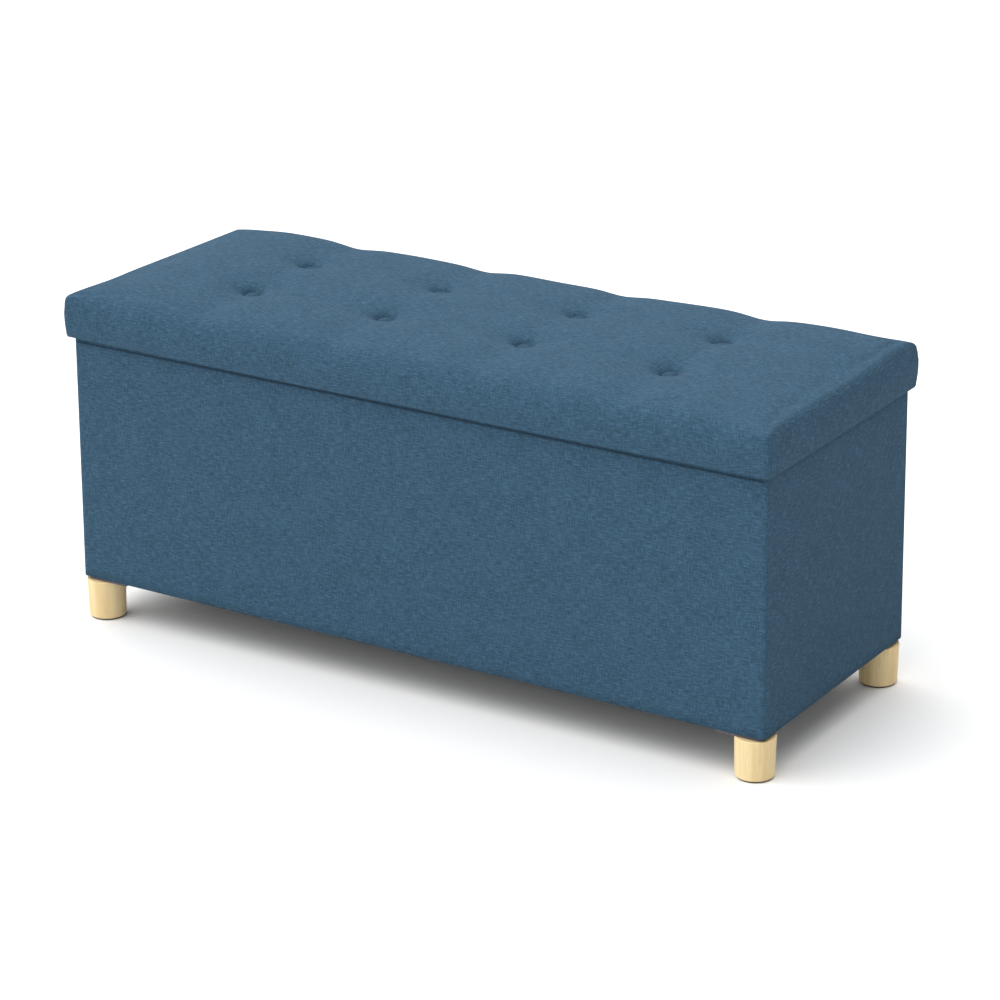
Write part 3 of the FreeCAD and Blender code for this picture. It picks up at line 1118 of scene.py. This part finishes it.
    def height(self, x: Array, y: Array) -> Array:
        """Height of the cover over a plan point."""
        edge = smooth(*self.edge_fade, np.abs(x))
        uneven = self.ripple.at(x, y) * self.unevenness
        pulled = self.pull(x, y) * (1.0 - self.edge_share * edge)
        return self.crown(x, y) + self.rise * (1.0 - edge) - pulled + uneven

    def shoulder(self, columns: Columns) -> Array:
        """Radius of the shoulder at each column, easing from one side's to the next's round a corner."""
        ends = {
            Side.FRONT: (self.front_corner, self.front_corner),
            Side.RIGHT: (self.front_corner, self.rear_corner),
            Side.REAR: (self.rear_corner, self.rear_corner),
            Side.LEFT: (self.rear_corner, self.front_corner),
        }
        radii = []
        for side in Side:
            gone = columns.parts(side) * self.outline.run(side)
            left = gone[-1] - gone
            own, reach = self.end_shoulder, self.end_ease
            if side.is_long:
                own, reach = self.long_shoulder, self.long_ease
            first, last = ends[side]
            radius = own + (first - own) * smooth(reach, 0.0, gone) + (last - own) * smooth(reach, 0.0, left)
            radii.append(radius[:-1])
        return np.concatenate(radii)

    def top(self, columns: Columns, inset: float = 0.0) -> Array:
        """The grid of points between the shoulders.

        Args:
            columns: the shared columns.
            inset: how far inside the cover's outside the surface lies.

        Returns:
            Points, rows of y by columns of x.
        """
        flat = self.top_outline
        x = (2 * columns.along_x - 1) * flat.half_x
        y = (2 * columns.along_y - 1) * flat.half_y
        across, up = np.meshgrid(x, y)
        return np.stack([across, up, self.height(across, up) - inset], axis=-1)

    def shoulders(self, columns: Columns, steps: int, inset: float = 0.0) -> list[Array]:
        """Rings from the top's edge round the shoulders to the skirt.

        Args:
            columns: the shared columns.
            steps: how many rings.
            inset: how far inside the cover's outside the surface lies.

        Returns:
            One array of points for each ring.
        """
        inner, _ = columns.ring(self.top_outline)
        outer, facing = columns.ring(self.outline)
        outer = outer - facing * inset
        radius = self.shoulder(columns)
        found = []
        for step in range(1, steps + 1):
            angle = math.pi / 2 * step / steps
            plan = inner + (outer - inner) * math.sin(angle)
            surface = self.height(plan[:, 0], plan[:, 1]) - inset
            fade = self.pull(plan[:, 0], plan[:, 1]) * (1 - math.cos(angle)) * self.edge_share
            found.append(stack(plan, surface + fade - radius * (1 - math.cos(angle))))
        return found


@dataclass
class LidCover:
    """The linen cover: over the foam, down the skirt, round the rim and up inside it."""

    form: LidForm
    fine: float = 0.0024
    coarse: float = 0.0075
    thickness: float = 0.0009
    fold: float = 0.0026
    shoulder_rings: int = 12
    skirt_rings: int = 11
    # The skirt: how far it bulges, less at the corners, how uneven it is, and how far it hangs.
    bulge: float = 0.0021
    corner_bulge: float = 0.9
    corner_reach: float = 0.04
    unevenness: float = 0.0006
    skirt_travel: float = 0.05
    skirt_ripple: Ripple = Ripple(seed=11, wavelength=0.22)
    hem_ripple: Ripple = Ripple(seed=3, wavelength=0.3)
    droop: float = 0.0014
    hem_drop: float = 0.0005
    turn_in: float = 0.083
    inner_corner: float = 0.0008
    tuck_start: float = 0.006
    tuck_gap: float = 0.0012
    # How far above the skirt's foot and below the crown the cloth is still partly held.
    grip_low: float = 0.022
    grip_high: float = 0.018
    tie_width: float = 0.004
    # Painted shade in the dent round a button and a broad, stretched patch of painted shade beyond it, as
    # shares and widths.
    button_edge: float = 0.008
    recess_shade: float = 0.28
    recess_shade_width: float = 0.006
    shade_pool: float = 0.08
    shade_pool_width: float = 0.022
    shade_pool_stretch: float = 0.75
    # Paler wear on the upright corners, and a paler line along the hem that is wear and painted highlight, as
    # shares and widths.
    corner_rub: float = 0.3
    corner_width: float = 0.006
    hem_wear_and_highlight: float = 0.5
    hem_wear_and_highlight_width: float = 0.003
    settling: Settling = field(default_factory=Settling)

    def skirt(self, columns: Columns, start: Array) -> list[Array]:
        """Rings down the skirt, bulging a little at mid-height."""
        outer, facing = columns.ring(self.form.outline)
        top, bottom = start[:, 2], self.bottom(outer) + self.fold
        away = smooth(0.0, self.corner_reach, columns.from_corners(self.form.outline))
        ease = self.corner_bulge + (1 - self.corner_bulge) * away
        found = []
        for part in np.linspace(0.0, 1.0, self.skirt_rings + 1)[1:]:
            swell = self.bulge * math.sin(math.pi * min(1.0, 0.12 + 0.9 * part)) ** 0.9 * ease
            ripple = self.skirt_ripple.at(outer[:, 0] + outer[:, 1], top + part * self.skirt_travel)
            uneven = ripple * self.unevenness * math.sin(math.pi * part)
            found.append(stack(outer + facing * (swell + uneven)[:, None], top + (bottom - top) * part))
        return found

    def bottom(self, plan: Array) -> Array:
        """Height of the skirt's lowest line, drooping a little between the corners."""
        slack = 1.0 - (plan[:, 0] / self.form.high.x) ** 2
        uneven = self.hem_ripple.at(plan[:, 0], plan[:, 1]) * self.unevenness / 2
        return self.form.low.z - self.hem_drop - self.droop * slack + uneven

    def hem(self, columns: Columns) -> list[Array]:
        """Rings round the rim's lower edge and up its inside to the lining."""
        outer, _ = columns.ring(self.form.outline)
        board_low, board_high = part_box("lid_board")
        half_x, half_y = board_high.x - self.thickness, board_high.y - self.thickness
        inner, _ = columns.ring(Outline(half_x, half_y, self.inner_corner))
        lowest = self.bottom(outer)
        found = []
        for turn in (0.25, 0.5, 0.75, 1.0):
            angle = math.pi * turn
            drop = self.fold * (1 - math.sin(angle))
            found.append(stack(outer + (inner - outer) * (1 - math.cos(angle)) / 2, lowest + drop))
        for height in np.linspace(lowest.mean() + self.tuck_start, board_low.z - self.tuck_gap, 4):
            found.append(stack(inner, height))
        return found

    def build(self) -> bpy.types.Object:
        """Make the cover."""
        form = self.form
        columns = form.columns(self.fine, self.coarse)
        skin = Skin()
        top = form.top(columns)
        grid = skin.add(top)
        shoulders = form.shoulders(columns, self.shoulder_rings)
        layers = shoulders + self.skirt(columns, shoulders[-1]) + self.hem(columns)
        rings = [columns.border(grid)] + [skin.add(layer) for layer in layers]
        skin.weave(grid, top[..., :2])
        down = down_the_cloth([columns.border(top), *layers])
        skin.wrap(np.array(rings), columns, -form.top_outline.half_y - down, flip=True)
        points = np.concatenate(skin.points)
        made = skin.build("lid_cover_linen", self.wear(points), self.painted_shade(points))
        self.settling.run(made, self.held(points))
        thicken(made, self.thickness)
        piece = Piece(made, Finish.LINEN, Body.LID, "lid_cover").settle()
        return piece

    def held(self, points: Array) -> Array:
        """How firmly the cover is held: at the tufts, and from the skirt's top down to the hem."""
        form = self.form
        firm = 1.0 - smooth(form.low.z + self.grip_low, form.high.z - self.grip_high, points[:, 2])
        for tuft in form.tufts:
            away = np.hypot(points[:, 0] - tuft.x, points[:, 1] - tuft.y)
            firm = np.maximum(firm, 1.0 - smooth(form.seat, form.seat + self.tie_width, away))
        return firm

    def painted_shade(self, points: Array) -> Array:
        """Painted shade in the dents round the buttons, fading out in a broad patch of painted shade."""
        total = np.zeros(len(points))
        for tuft in self.form.tufts:
            off_x, off_y = points[:, 0] - tuft.x, points[:, 1] - tuft.y
            past = np.clip(np.hypot(off_x, off_y) - self.button_edge, 0.0, None)
            # A broad patch of painted shade, stretched along the bench, round each button.
            shade_pool = self.shade_pool * bell(np.hypot(self.shade_pool_stretch * off_x, off_y), self.shade_pool_width)
            # Painted shade at the edge of each button's dent.
            total = np.maximum(total, self.recess_shade * bell(past, self.recess_shade_width) + shade_pool)
        return total

    def wear(self, points: Array) -> Array:
        """Paler wear along the skirt's upright corners, and wear with a painted highlight along its lowest
        line.
        """
        outline = self.form.outline
        corner = np.hypot(outline.half_x - np.abs(points[:, 0]), outline.half_y - np.abs(points[:, 1]))
        # A paler line along the hem: wear, and a painted highlight.
        foot = self.hem_wear_and_highlight * bell(points[:, 2] - self.form.low.z, self.hem_wear_and_highlight_width)
        return np.clip(self.corner_rub * bell(corner, self.corner_width) + foot, 0.0, 1.0)


@dataclass
class FoamPad:
    """The foam under the lid's cover, pulled in where the buttons are tied."""

    form: LidForm
    inset: float = 0.0025
    clearance: float = 0.0002
    lower_edge: float = 0.0006
    draw_in: float = 0.9985
    fill: float = 0.9
    coarse: float = 0.011
    fine: float = 0.005

    def build(self) -> bpy.types.Object:
        """Make the pad, flat below and shaped like the cover above."""
        form = self.form
        columns = form.columns(self.fine, self.coarse)
        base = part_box("lid_board")[1].z + self.clearance
        skin = Skin()
        top = form.top(columns, self.inset)
        grid = skin.add(top)
        layers = form.shoulders(columns, 7, self.inset)
        side = layers[-1].copy()
        for part in (0.4, 0.75):
            lower = side.copy()
            lower[:, 2] += (base + self.lower_edge - side[:, 2]) * part
            layers.append(lower)
        layers.append(stack(side[:, :2] * self.draw_in, base))
        rings = [columns.border(grid)] + [skin.add(layer) for layer in layers]
        skin.weave(grid, top[..., :2])
        skin.wrap(np.array(rings), columns, np.zeros((len(rings), columns.count)), flip=True)
        under = top.copy()
        under[..., 2] = base
        inside = skin.add(under[1:-1, 1:-1])
        skin.weave(columns.close(rings[-1], inside), under[..., :2], flip=True)
        made = skin.build("lid_foam")
        piece = Piece(made, Finish.FOAM, Body.LID, "foam_pad").settle()
        return piece


@dataclass
class CoveredButton:
    """A linen-covered tufting button, its cloth gathered under the edge."""

    node: str
    number: int
    segments: int = 64
    gathers: int = 15
    pucker: float = 0.022
    tilt: float = 0.035
    seed: int = 40
    # Painted shade over the whole button, which sits deep in its dent.
    recess_shade: float = 0.28
    waist: float = 0.30
    lap: float = 0.35
    chart_step: float = 0.05

    def profile(self) -> Array:
        """Distances out and up the button's outline, as shares of its radius and its height."""
        under = [(0.0, 0.02), (0.45, 0.0), (0.80, 0.0), (0.93, 0.05), (0.985, 0.16), (1.0, self.waist)]
        rise = 1.0 - self.waist
        dome = [(math.cos(a), self.waist + rise * math.sin(a) ** 1.15) for a in np.linspace(0.18, 1.35, 9)]
        return np.array([*under, *dome, (0.10, 0.995)])

    def build(self) -> bpy.types.Object:
        """Make the button on its node's place."""
        low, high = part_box(self.node)
        middle = (low + high) / 2
        radius, height = (high.x - low.x) / 2, high.z - low.z
        out, up = self.profile().T[..., None]
        turn = np.linspace(0, math.tau, self.segments, endpoint=False)
        pucker = self.pucker * np.cos(self.gathers * turn + self.number) * bell(up - 0.12, 0.16)
        reach = radius * out * (1 + pucker)
        rings = stack(np.stack([reach * np.cos(turn), reach * np.sin(turn)], axis=-1), height * up)
        random = np.random.default_rng(self.seed + self.number)
        lean, heading = random.uniform(-1, 1) * self.tilt, random.uniform(0, math.tau)
        spin = np.array(Matrix.Rotation(lean, 3, Vector((math.cos(heading), math.sin(heading), 0))))
        skin = Skin()
        grid = skin.add(rings @ spin.T + np.array([middle.x, middle.y, low.z]))
        flat = out * radius + self.lap * height * (1 - up)
        cloth = np.stack([flat * np.cos(turn), flat * np.sin(turn)], axis=-1) + self.number * self.chart_step
        closed = np.concatenate([grid, grid[:, :1]], axis=1)
        skin.weave(closed, np.concatenate([cloth, cloth[:, :1]], axis=1))
        for ring, chart, flip in ((grid[0], cloth[0], True), (grid[-1], cloth[-1], False)):
            self.cap(skin, ring, chart, flip)
        # The whole button is darkened by painted shade.
        made = skin.build(self.node + "_linen", painted_shade=np.full(skin.count, self.recess_shade))
        return Piece(made, Finish.LINEN, Body.LID, self.node).settle()

    def cap(self, skin: Skin, ring: Array, chart: Array, flip: bool) -> None:
        """Close the button's middle with a strip of faces across the ring."""
        half = self.segments // 2
        left, right = ring[:half], ring[half:][::-1]
        chart_left, chart_right = chart[:half], chart[half:][::-1]
        skin.weave(np.stack([left, right]), np.stack([chart_left, chart_right]), flip=flip)


# ---------------------------------------------------------------- the box's cloth
@dataclass
class BodyCover:
    """The linen round the box, turned in over its mouth and turned under its base."""

    thickness: float = 0.0009
    # Corners outside, inside the mouth and under the base.
    corner_radius: float = 0.0042
    mouth_corner: float = 0.0012
    under_corner: float = 0.002
    # The folds over the mouth and under the base, and the degrees of turn at which the first has rings.
    fold: float = 0.0022
    fold_turns: tuple[float, ...] = (29.7, 60.3, 90.0)
    lower_fold: float = 0.0018
    tuck: float = 0.001
    # How much the faces wave, how far from a corner they start to, and how far the foot hangs out.
    softness: float = 0.0005
    ripple: Ripple = Ripple(seed=21, wavelength=0.35)
    wave_start: Span = (0.004, 0.06)
    end_slack: float = 0.0028
    rear_slack: float = 0.0028
    front_slack: float = 0.0008
    # Spacing of the columns and of the rings, closer at the corners and round the line of painted shade below
    # the lid's skirt.
    fine: float = 0.0016
    coarse: float = 0.016
    corner_reach: float = 0.012
    fine_ring: float = 0.0012
    coarse_ring: float = 0.0125
    skirt_shade_reach: float = 0.009
    # Painted shade: a line just below the lid's skirt, fainter on the ends, and a line along the lowest edge.
    skirt_shade_drop: float = 0.0072
    skirt_shade_width: float = 0.0016
    end_skirt_shade: float = 0.2
    end_fade: Span = (0.002, 0.006)
    edge_shade: float = 0.5
    edge_width: float = 0.0022
    corner_wear: float = 0.3
    corner_width: float = 0.003
    low: Vector = field(init=False)
    high: Vector = field(init=False)
    mouth: Vector = field(init=False)
    under: Vector = field(init=False)
    skirt_shade_line: float = field(init=False)

    def __post_init__(self) -> None:
        """Take the sizes from the frame."""
        self.low, self.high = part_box("body_cover")
        self.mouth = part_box("wall_lining")[1]
        self.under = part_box("underside_cloth")[1]
        # Where the line of painted shade lies, just below the lid's skirt.
        self.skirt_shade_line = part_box("lid_cover")[0].z - self.skirt_shade_drop

    @property
    def outline(self) -> Outline:
        """The outside of the box."""
        return Outline(self.high.x, self.high.y, self.corner_radius)

    @property
    def girth(self) -> float:
        """The distance round the box."""
        return 4 * (self.high.x + self.high.y)

    def over_mouth(self, columns: Columns) -> list[Array]:
        """Rings up the band inside the mouth and over its flat-topped edge."""
        outer, facing = columns.ring(self.outline)
        inside = Outline(self.mouth.x - self.tuck, self.mouth.y - self.tuck, self.mouth_corner)
        mouth, _ = columns.ring(inside)
        across = outer - mouth
        inner_top = mouth + across * (self.fold / np.linalg.norm(across, axis=1))[:, None]
        outer_top = outer - facing * self.fold
        shoulder = self.high.z - self.fold
        found = [stack(mouth, z) for z in np.linspace(self.mouth.z, shoulder, 5)]
        for angle in np.radians(self.fold_turns):
            plan = mouth + (inner_top - mouth) * (1 - math.cos(angle))
            found.append(stack(plan, shoulder + self.fold * math.sin(angle)))
        found.append(stack((inner_top + outer_top) / 2, self.high.z + LIFT))
        for angle in np.radians((0.0, *self.fold_turns)):
            plan = outer_top + (outer - outer_top) * math.sin(angle)
            found.append(stack(plan, shoulder + self.fold * math.cos(angle)))
        return found

    def down_faces(self, columns: Columns) -> list[Array]:
        """Rings down the faces, hanging slacker towards the lowest edge."""
        outer, facing = columns.ring(self.outline)
        slack = self.slack(facing)
        away = smooth(*self.wave_start, columns.from_corners(self.outline))
        top, bottom = self.high.z - self.fold, self.low.z + self.lower_fold
        run = top - bottom
        # Rings close together round the line of painted shade below the skirt.
        steps = marks(run, [top - self.skirt_shade_line], self.fine_ring, self.coarse_ring, self.skirt_shade_reach)
        heights = top - run * steps
        found = []
        for z in heights[1:]:
            part = (z - bottom) / run
            held = math.sin(math.pi * part) ** 0.6 if z != heights[-1] else 0.0
            swell = self.softness * self.ripple.at(outer[:, 0] + 0.7 * outer[:, 1], z) * held * away
            found.append(stack(outer + slack * (1.0 - part) + facing * swell[:, None], z))
        return found

    def slack(self, facing: Array) -> Array:
        """How far the lowest edge hangs out from the box, by columns."""
        long_sides = np.where(facing[:, 1] > 0.0, self.rear_slack, self.front_slack)
        return facing * np.stack([np.full_like(long_sides, self.end_slack), long_sides], axis=-1)

    def under_base(self, columns: Columns) -> list[Array]:
        """Rings round the lowest edge and in under the base."""
        outer, facing = columns.ring(self.outline)
        outer = outer + self.slack(facing)
        under, _ = columns.ring(Outline(self.under.x, self.under.y, self.under_corner))
        found = []
        for angle in (math.pi / 4, math.pi / 2):
            plan = outer - facing * self.lower_fold * (1 - math.cos(angle))
            found.append(stack(plan, self.low.z + self.lower_fold * (1 - math.sin(angle))))
        flat = outer - facing * self.lower_fold
        for part in (0.35, 0.7, 1.0):
            found.append(stack(flat + (under - flat) * part, self.low.z + LIFT * part))
        return found

    def painted_shade(self, points: Array) -> Array:
        """Painted shade in a line just below the lid's skirt, fainter on the ends, and painted shade along the
        lowest edge.
        """
        from_end = self.high.x - np.abs(points[:, 0])
        share = self.end_skirt_shade + (1.0 - self.end_skirt_shade) * smooth(*self.end_fade, from_end)
        # Painted shade just below the lid's skirt.
        skirt_shade = bell(points[:, 2] - self.skirt_shade_line, self.skirt_shade_width) * share
        # Painted shade along the lowest edge, where the box meets the shadow beneath it.
        edge = self.edge_shade * bell(points[:, 2] - self.low.z, self.edge_width)
        return np.clip(skirt_shade + edge, 0.0, 1.0)

    def wear(self, points: Array) -> Array:
        """Rubbing along the upright corners."""
        corner = np.hypot(self.high.x - np.abs(points[:, 0]), self.high.y - np.abs(points[:, 1]))
        return self.corner_wear * bell(corner, self.corner_width)

    def build(self) -> bpy.types.Object:
        """Make the cover."""
        size = (2 * self.high.x, 2 * self.high.y)
        columns = corner_columns(size, self.fine, self.coarse, self.corner_reach)
        layers = self.over_mouth(columns) + self.down_faces(columns) + self.under_base(columns)
        skin = Skin()
        rings = np.array([skin.add(layer) for layer in layers])
        down = down_the_cloth(layers)
        skin.wrap(rings, columns, -down, flip=True)
        points = np.concatenate(skin.points)
        made = skin.build("body_cover_linen", self.wear(points), self.painted_shade(points))
        thicken(made, self.thickness)
        piece = Piece(made, Finish.LINEN, Body.BOX, "body_cover").settle()
        return piece


@dataclass
class LiningPanel:
    """A flat sheet of lining, drawn down a little at its staples and slightly uneven between them."""

    node: str
    body: Body
    held: str
    rests_on: tuple[str, ...]
    faces_up: bool
    unevenness: float = 0.0004
    wavelength: float = 0.13
    stapled_edge: float = 0.05
    thickness: float = 0.0007
    fine: float = 0.004
    coarse: float = 0.012
    corner_reach: float = 0.02

    def build(self) -> bpy.types.Object:
        """Make the sheet on its node's place."""
        low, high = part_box(self.node)
        size = (high.x - low.x, high.y - low.y)
        columns = corner_columns(size, self.fine, self.coarse, self.corner_reach)
        x = low.x + (high.x - low.x) * columns.along_x
        y = low.y + (high.y - low.y) * columns.along_y
        across, up = np.meshgrid(x, y)
        edge = np.minimum.reduce([across - low.x, high.x - across, up - low.y, high.y - up])
        wave = Ripple(len(self.node), self.wavelength).at(across, up) * self.unevenness
        wave = wave * smooth(0.0, self.stapled_edge, edge)
        wave = np.clip(wave, -self.unevenness, self.unevenness)
        level = (high.z - LIFT if self.faces_up else low.z + LIFT) + wave
        skin = Skin()
        grid = skin.add(np.stack([across, up, level], axis=-1))
        skin.weave(grid, np.stack([across, up], axis=-1), flip=not self.faces_up)
        made = skin.build(self.node + "_cloth")
        thicken(made, self.thickness)
        piece = Piece(made, Finish.LINING, self.body, self.node).settle()
        return piece


@dataclass
class WallLining:
    """The lining round the inside of the walls, tucked behind the cover's turned-in band."""

    node: str = "wall_lining"
    thickness: float = 0.0007
    unevenness: float = 0.0006
    ripple: Ripple = Ripple(seed=31, wavelength=0.11)
    inset: float = 0.001
    corner_radius: float = 0.002
    fine: float = 0.003
    coarse: float = 0.014
    corner_reach: float = 0.015
    rings: int = 24

    def build(self) -> bpy.types.Object:
        """Make the lining as one band."""
        low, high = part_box(self.node)
        columns = corner_columns((2 * high.x, 2 * high.y), self.fine, self.coarse, self.corner_reach)
        outline = Outline(high.x - self.inset, high.y - self.inset, self.corner_radius)
        plan, facing = columns.ring(outline)
        layers = []
        for z in np.linspace(low.z, high.z, self.rings):
            part = (z - low.z) / (high.z - low.z)
            held = math.sin(math.pi * part) ** 0.7 if low.z < z < high.z else 0.0
            wave = np.abs(self.ripple.at(plan[:, 0] + plan[:, 1], z)) * self.unevenness * held
            layers.append(stack(plan - facing * wave[:, None], z))
        skin = Skin()
        rings = np.array([skin.add(layer) for layer in layers])
        down = np.array([np.full(columns.count, layer[0, 2]) for layer in layers])
        skin.wrap(rings, columns, down, flip=True)
        made = skin.build("wall_lining_cloth")
        thicken(made, self.thickness)
        piece = Piece(made, Finish.LINING, Body.BOX, self.node).settle()
        return piece


# ---------------------------------------------------------------- sub-assemblies
@dataclass
class Lid:
    """The lift-off lid: cover, foam, buttons, rims, board, ties and lining."""

    form: LidForm = field(default_factory=LidForm)
    rim_edge: float = 0.0012
    rim_segments: int = 3

    def build(self) -> None:
        """Make the lid's soft pieces."""
        FoamPad(self.form).build()
        LidCover(self.form).build()
        buttons = sorted(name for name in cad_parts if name.startswith("tuft_button_"))
        for number, node in enumerate(buttons):
            CoveredButton(node, number).build()
        LiningPanel("lid_lining", Body.LID, "stretched", ("lid_board",), faces_up=False).build()

    def dress(self) -> None:
        """Finish the lid's hard pieces."""
        dress_nodes(Finish.PLYWOOD, "lid_board")
        for rim in dress_nodes(Finish.PLYWOOD, "lid_rim_"):
            soften(rim, self.rim_edge, self.rim_segments)
        dress_nodes(Finish.ZINC, "lid_staples")
        dress_nodes(Finish.PLASTIC, "tie_washers")
        dress_nodes(Finish.TWINE, "tuft_ties")


@dataclass
class StorageBox:
    """The box: boards, cover, linings, corner plates, feet and their fastenings."""

    plate_edge: float = 0.0004
    board_edge: float = 0.0012
    feet: tuple[str, ...] = ("foot_front_", "foot_rear_")
    boards: tuple[str, ...] = ("base_board", "front_board", "rear_board", "left_board", "right_board")
    steel: tuple[str, ...] = ("wall_screws", "base_screws", "plate_screws", "hanger_bolts", "cloth_staples")

    def build(self) -> None:
        """Make the box's soft pieces."""
        BodyCover().build()
        WallLining().build()
        LiningPanel("floor_lining", Body.BOX, "laid", ("base_board",), faces_up=True).build()
        LiningPanel("underside_cloth", Body.BOX, "stretched", ("base_board",), faces_up=False).build()

    def dress(self) -> None:
        """Finish the box's hard pieces."""
        for board in dress_nodes(Finish.FIBREBOARD, *self.boards):
            soften(board, self.board_edge)
        dress_nodes(Finish.BEECH, *self.feet)
        dress_nodes(Finish.PAD, "foot_pad_")
        for plate in dress_nodes(Finish.PLATE, "corner_plate_"):
            soften(plate, self.plate_edge)
        dress_nodes(Finish.ZINC, *self.steel)
        dress_nodes(Finish.YELLOW_ZINC, "threaded_inserts")


def dress_nodes(finish: Finish, *starts: str) -> list[bpy.types.Object]:
    """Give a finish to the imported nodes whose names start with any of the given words.

    Args:
        finish: the finish.
        starts: the starts of the nodes' names.

    Returns:
        The nodes.
    """
    found = [node for name, node in sorted(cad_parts.items()) if name.startswith(starts)]
    for node in found:
        finish.dress(node)
        LOG.info("%s has the finish %s", node.name, finish.slot)
    return found


# ---------------------------------------------------------------- studio
@dataclass
class Studio:
    """A pale floor, soft lights and the camera."""

    target: Vector = field(default_factory=lambda: Vector((0.0547, -0.0476, 0.225)))
    distance: float = 4.506
    azimuth: float = math.radians(32.067)
    elevation: float = math.radians(20.788)
    roll: float = math.radians(-0.32)
    lens: float = 131.98
    sensor: float = 36.0
    farthest: float = 100.0
    floor_size: float = 40.0
    floor_tones: tuple[Colour, Colour] = ((0.80, 0.80, 0.80), (0.83, 0.83, 0.83))
    # Each lamp's angle round from the front towards the left, its angle up, its width and its strength.
    overhead: tuple[float, float, float, float] = (110.0, 70.0, 100.0, 3.25)
    front: tuple[float, float, float, float] = (30.0, 36.0, 70.0, 1.6)
    lamp_distance: float = 5.0
    air: float = 0.50

    def floor(self) -> None:
        """A plain pale floor."""
        half = self.floor_size / 2
        corners = [(-half, -half, 0), (half, -half, 0), (half, half, 0), (-half, half, 0)]
        mesh = bpy.data.meshes.new("floor")
        mesh.from_pydata(corners, [], [(0, 1, 2, 3)])
        made = bpy.data.objects.new("floor", mesh)
        bpy.context.scene.collection.objects.link(made)
        g = Graph("pale floor")
        tone = g.mix(g.noise(g.place(), 3.0), *self.floor_tones)
        made.data.materials.append(g.close(tone, 0.9, specular=0.1))

    def lamp(self, name: str, azimuth: float, elevation: float, width: float, strength: float) -> None:
        """A broad far-off lamp.

        Args:
            name: the lamp's name.
            azimuth: degrees round from the front towards the left.
            elevation: degrees above the floor.
            width: how wide it looks, in degrees.
            strength: its brightness.
        """
        light = bpy.data.lights.new(name, "SUN")
        light.angle = math.radians(width)
        light.energy = strength
        made = bpy.data.objects.new(name, light)
        towards = direction(math.radians(-azimuth), math.radians(elevation))
        made.location = towards * self.lamp_distance
        made.rotation_euler = towards.to_track_quat("Z", "Y").to_euler()
        bpy.context.scene.collection.objects.link(made)

    def lights(self) -> None:
        """A broad overhead lamp, a gentle one from the front left and faint light from all round."""
        self.lamp("overhead", *self.overhead)
        self.lamp("front", *self.front)
        world = bpy.data.worlds.new("studio air")
        bpy.context.scene.world = world
        world.use_nodes = True
        sky = world.node_tree.nodes["Background"]
        sky.inputs["Color"].default_value = (1.0, 1.0, 1.0, 1.0)
        sky.inputs["Strength"].default_value = self.air

    def camera(self) -> None:
        """A long lens, looking down on the bench from the front right."""
        back = direction(self.azimuth, self.elevation)
        right = Vector((math.cos(self.azimuth), math.sin(self.azimuth), 0.0))
        up = back.cross(right)
        tilted_right = right * math.cos(self.roll) + up * math.sin(self.roll)
        tilted_up = up * math.cos(self.roll) - right * math.sin(self.roll)
        data = bpy.data.cameras.new("camera")
        data.lens = self.lens
        data.sensor_width = self.sensor
        data.clip_end = self.farthest
        made = bpy.data.objects.new("camera", data)
        turn = Matrix((tilted_right, tilted_up, back)).transposed().to_4x4()
        made.matrix_world = Matrix.Translation(self.target + back * self.distance) @ turn
        bpy.context.scene.collection.objects.link(made)
        bpy.context.scene.camera = made

    def build(self) -> None:
        """Set up the studio."""
        self.floor()
        self.lights()
        self.camera()
        bpy.context.scene.view_settings.view_transform = "Standard"


def direction(azimuth: float, elevation: float) -> Vector:
    """The direction that leaves the bench at an angle round from the front and an angle above the floor."""
    level = math.cos(elevation)
    return Vector((math.sin(azimuth) * level, -math.cos(azimuth) * level, math.sin(elevation)))


def main() -> None:
    """Build and finish the whole bench."""
    logging.basicConfig(level=logging.INFO, format="%(message)s")
    box, lid = StorageBox(), Lid()
    for part in (box, lid):
        part.build()
        part.dress()
    Studio().build()


if __name__ == "__main__":
    main()
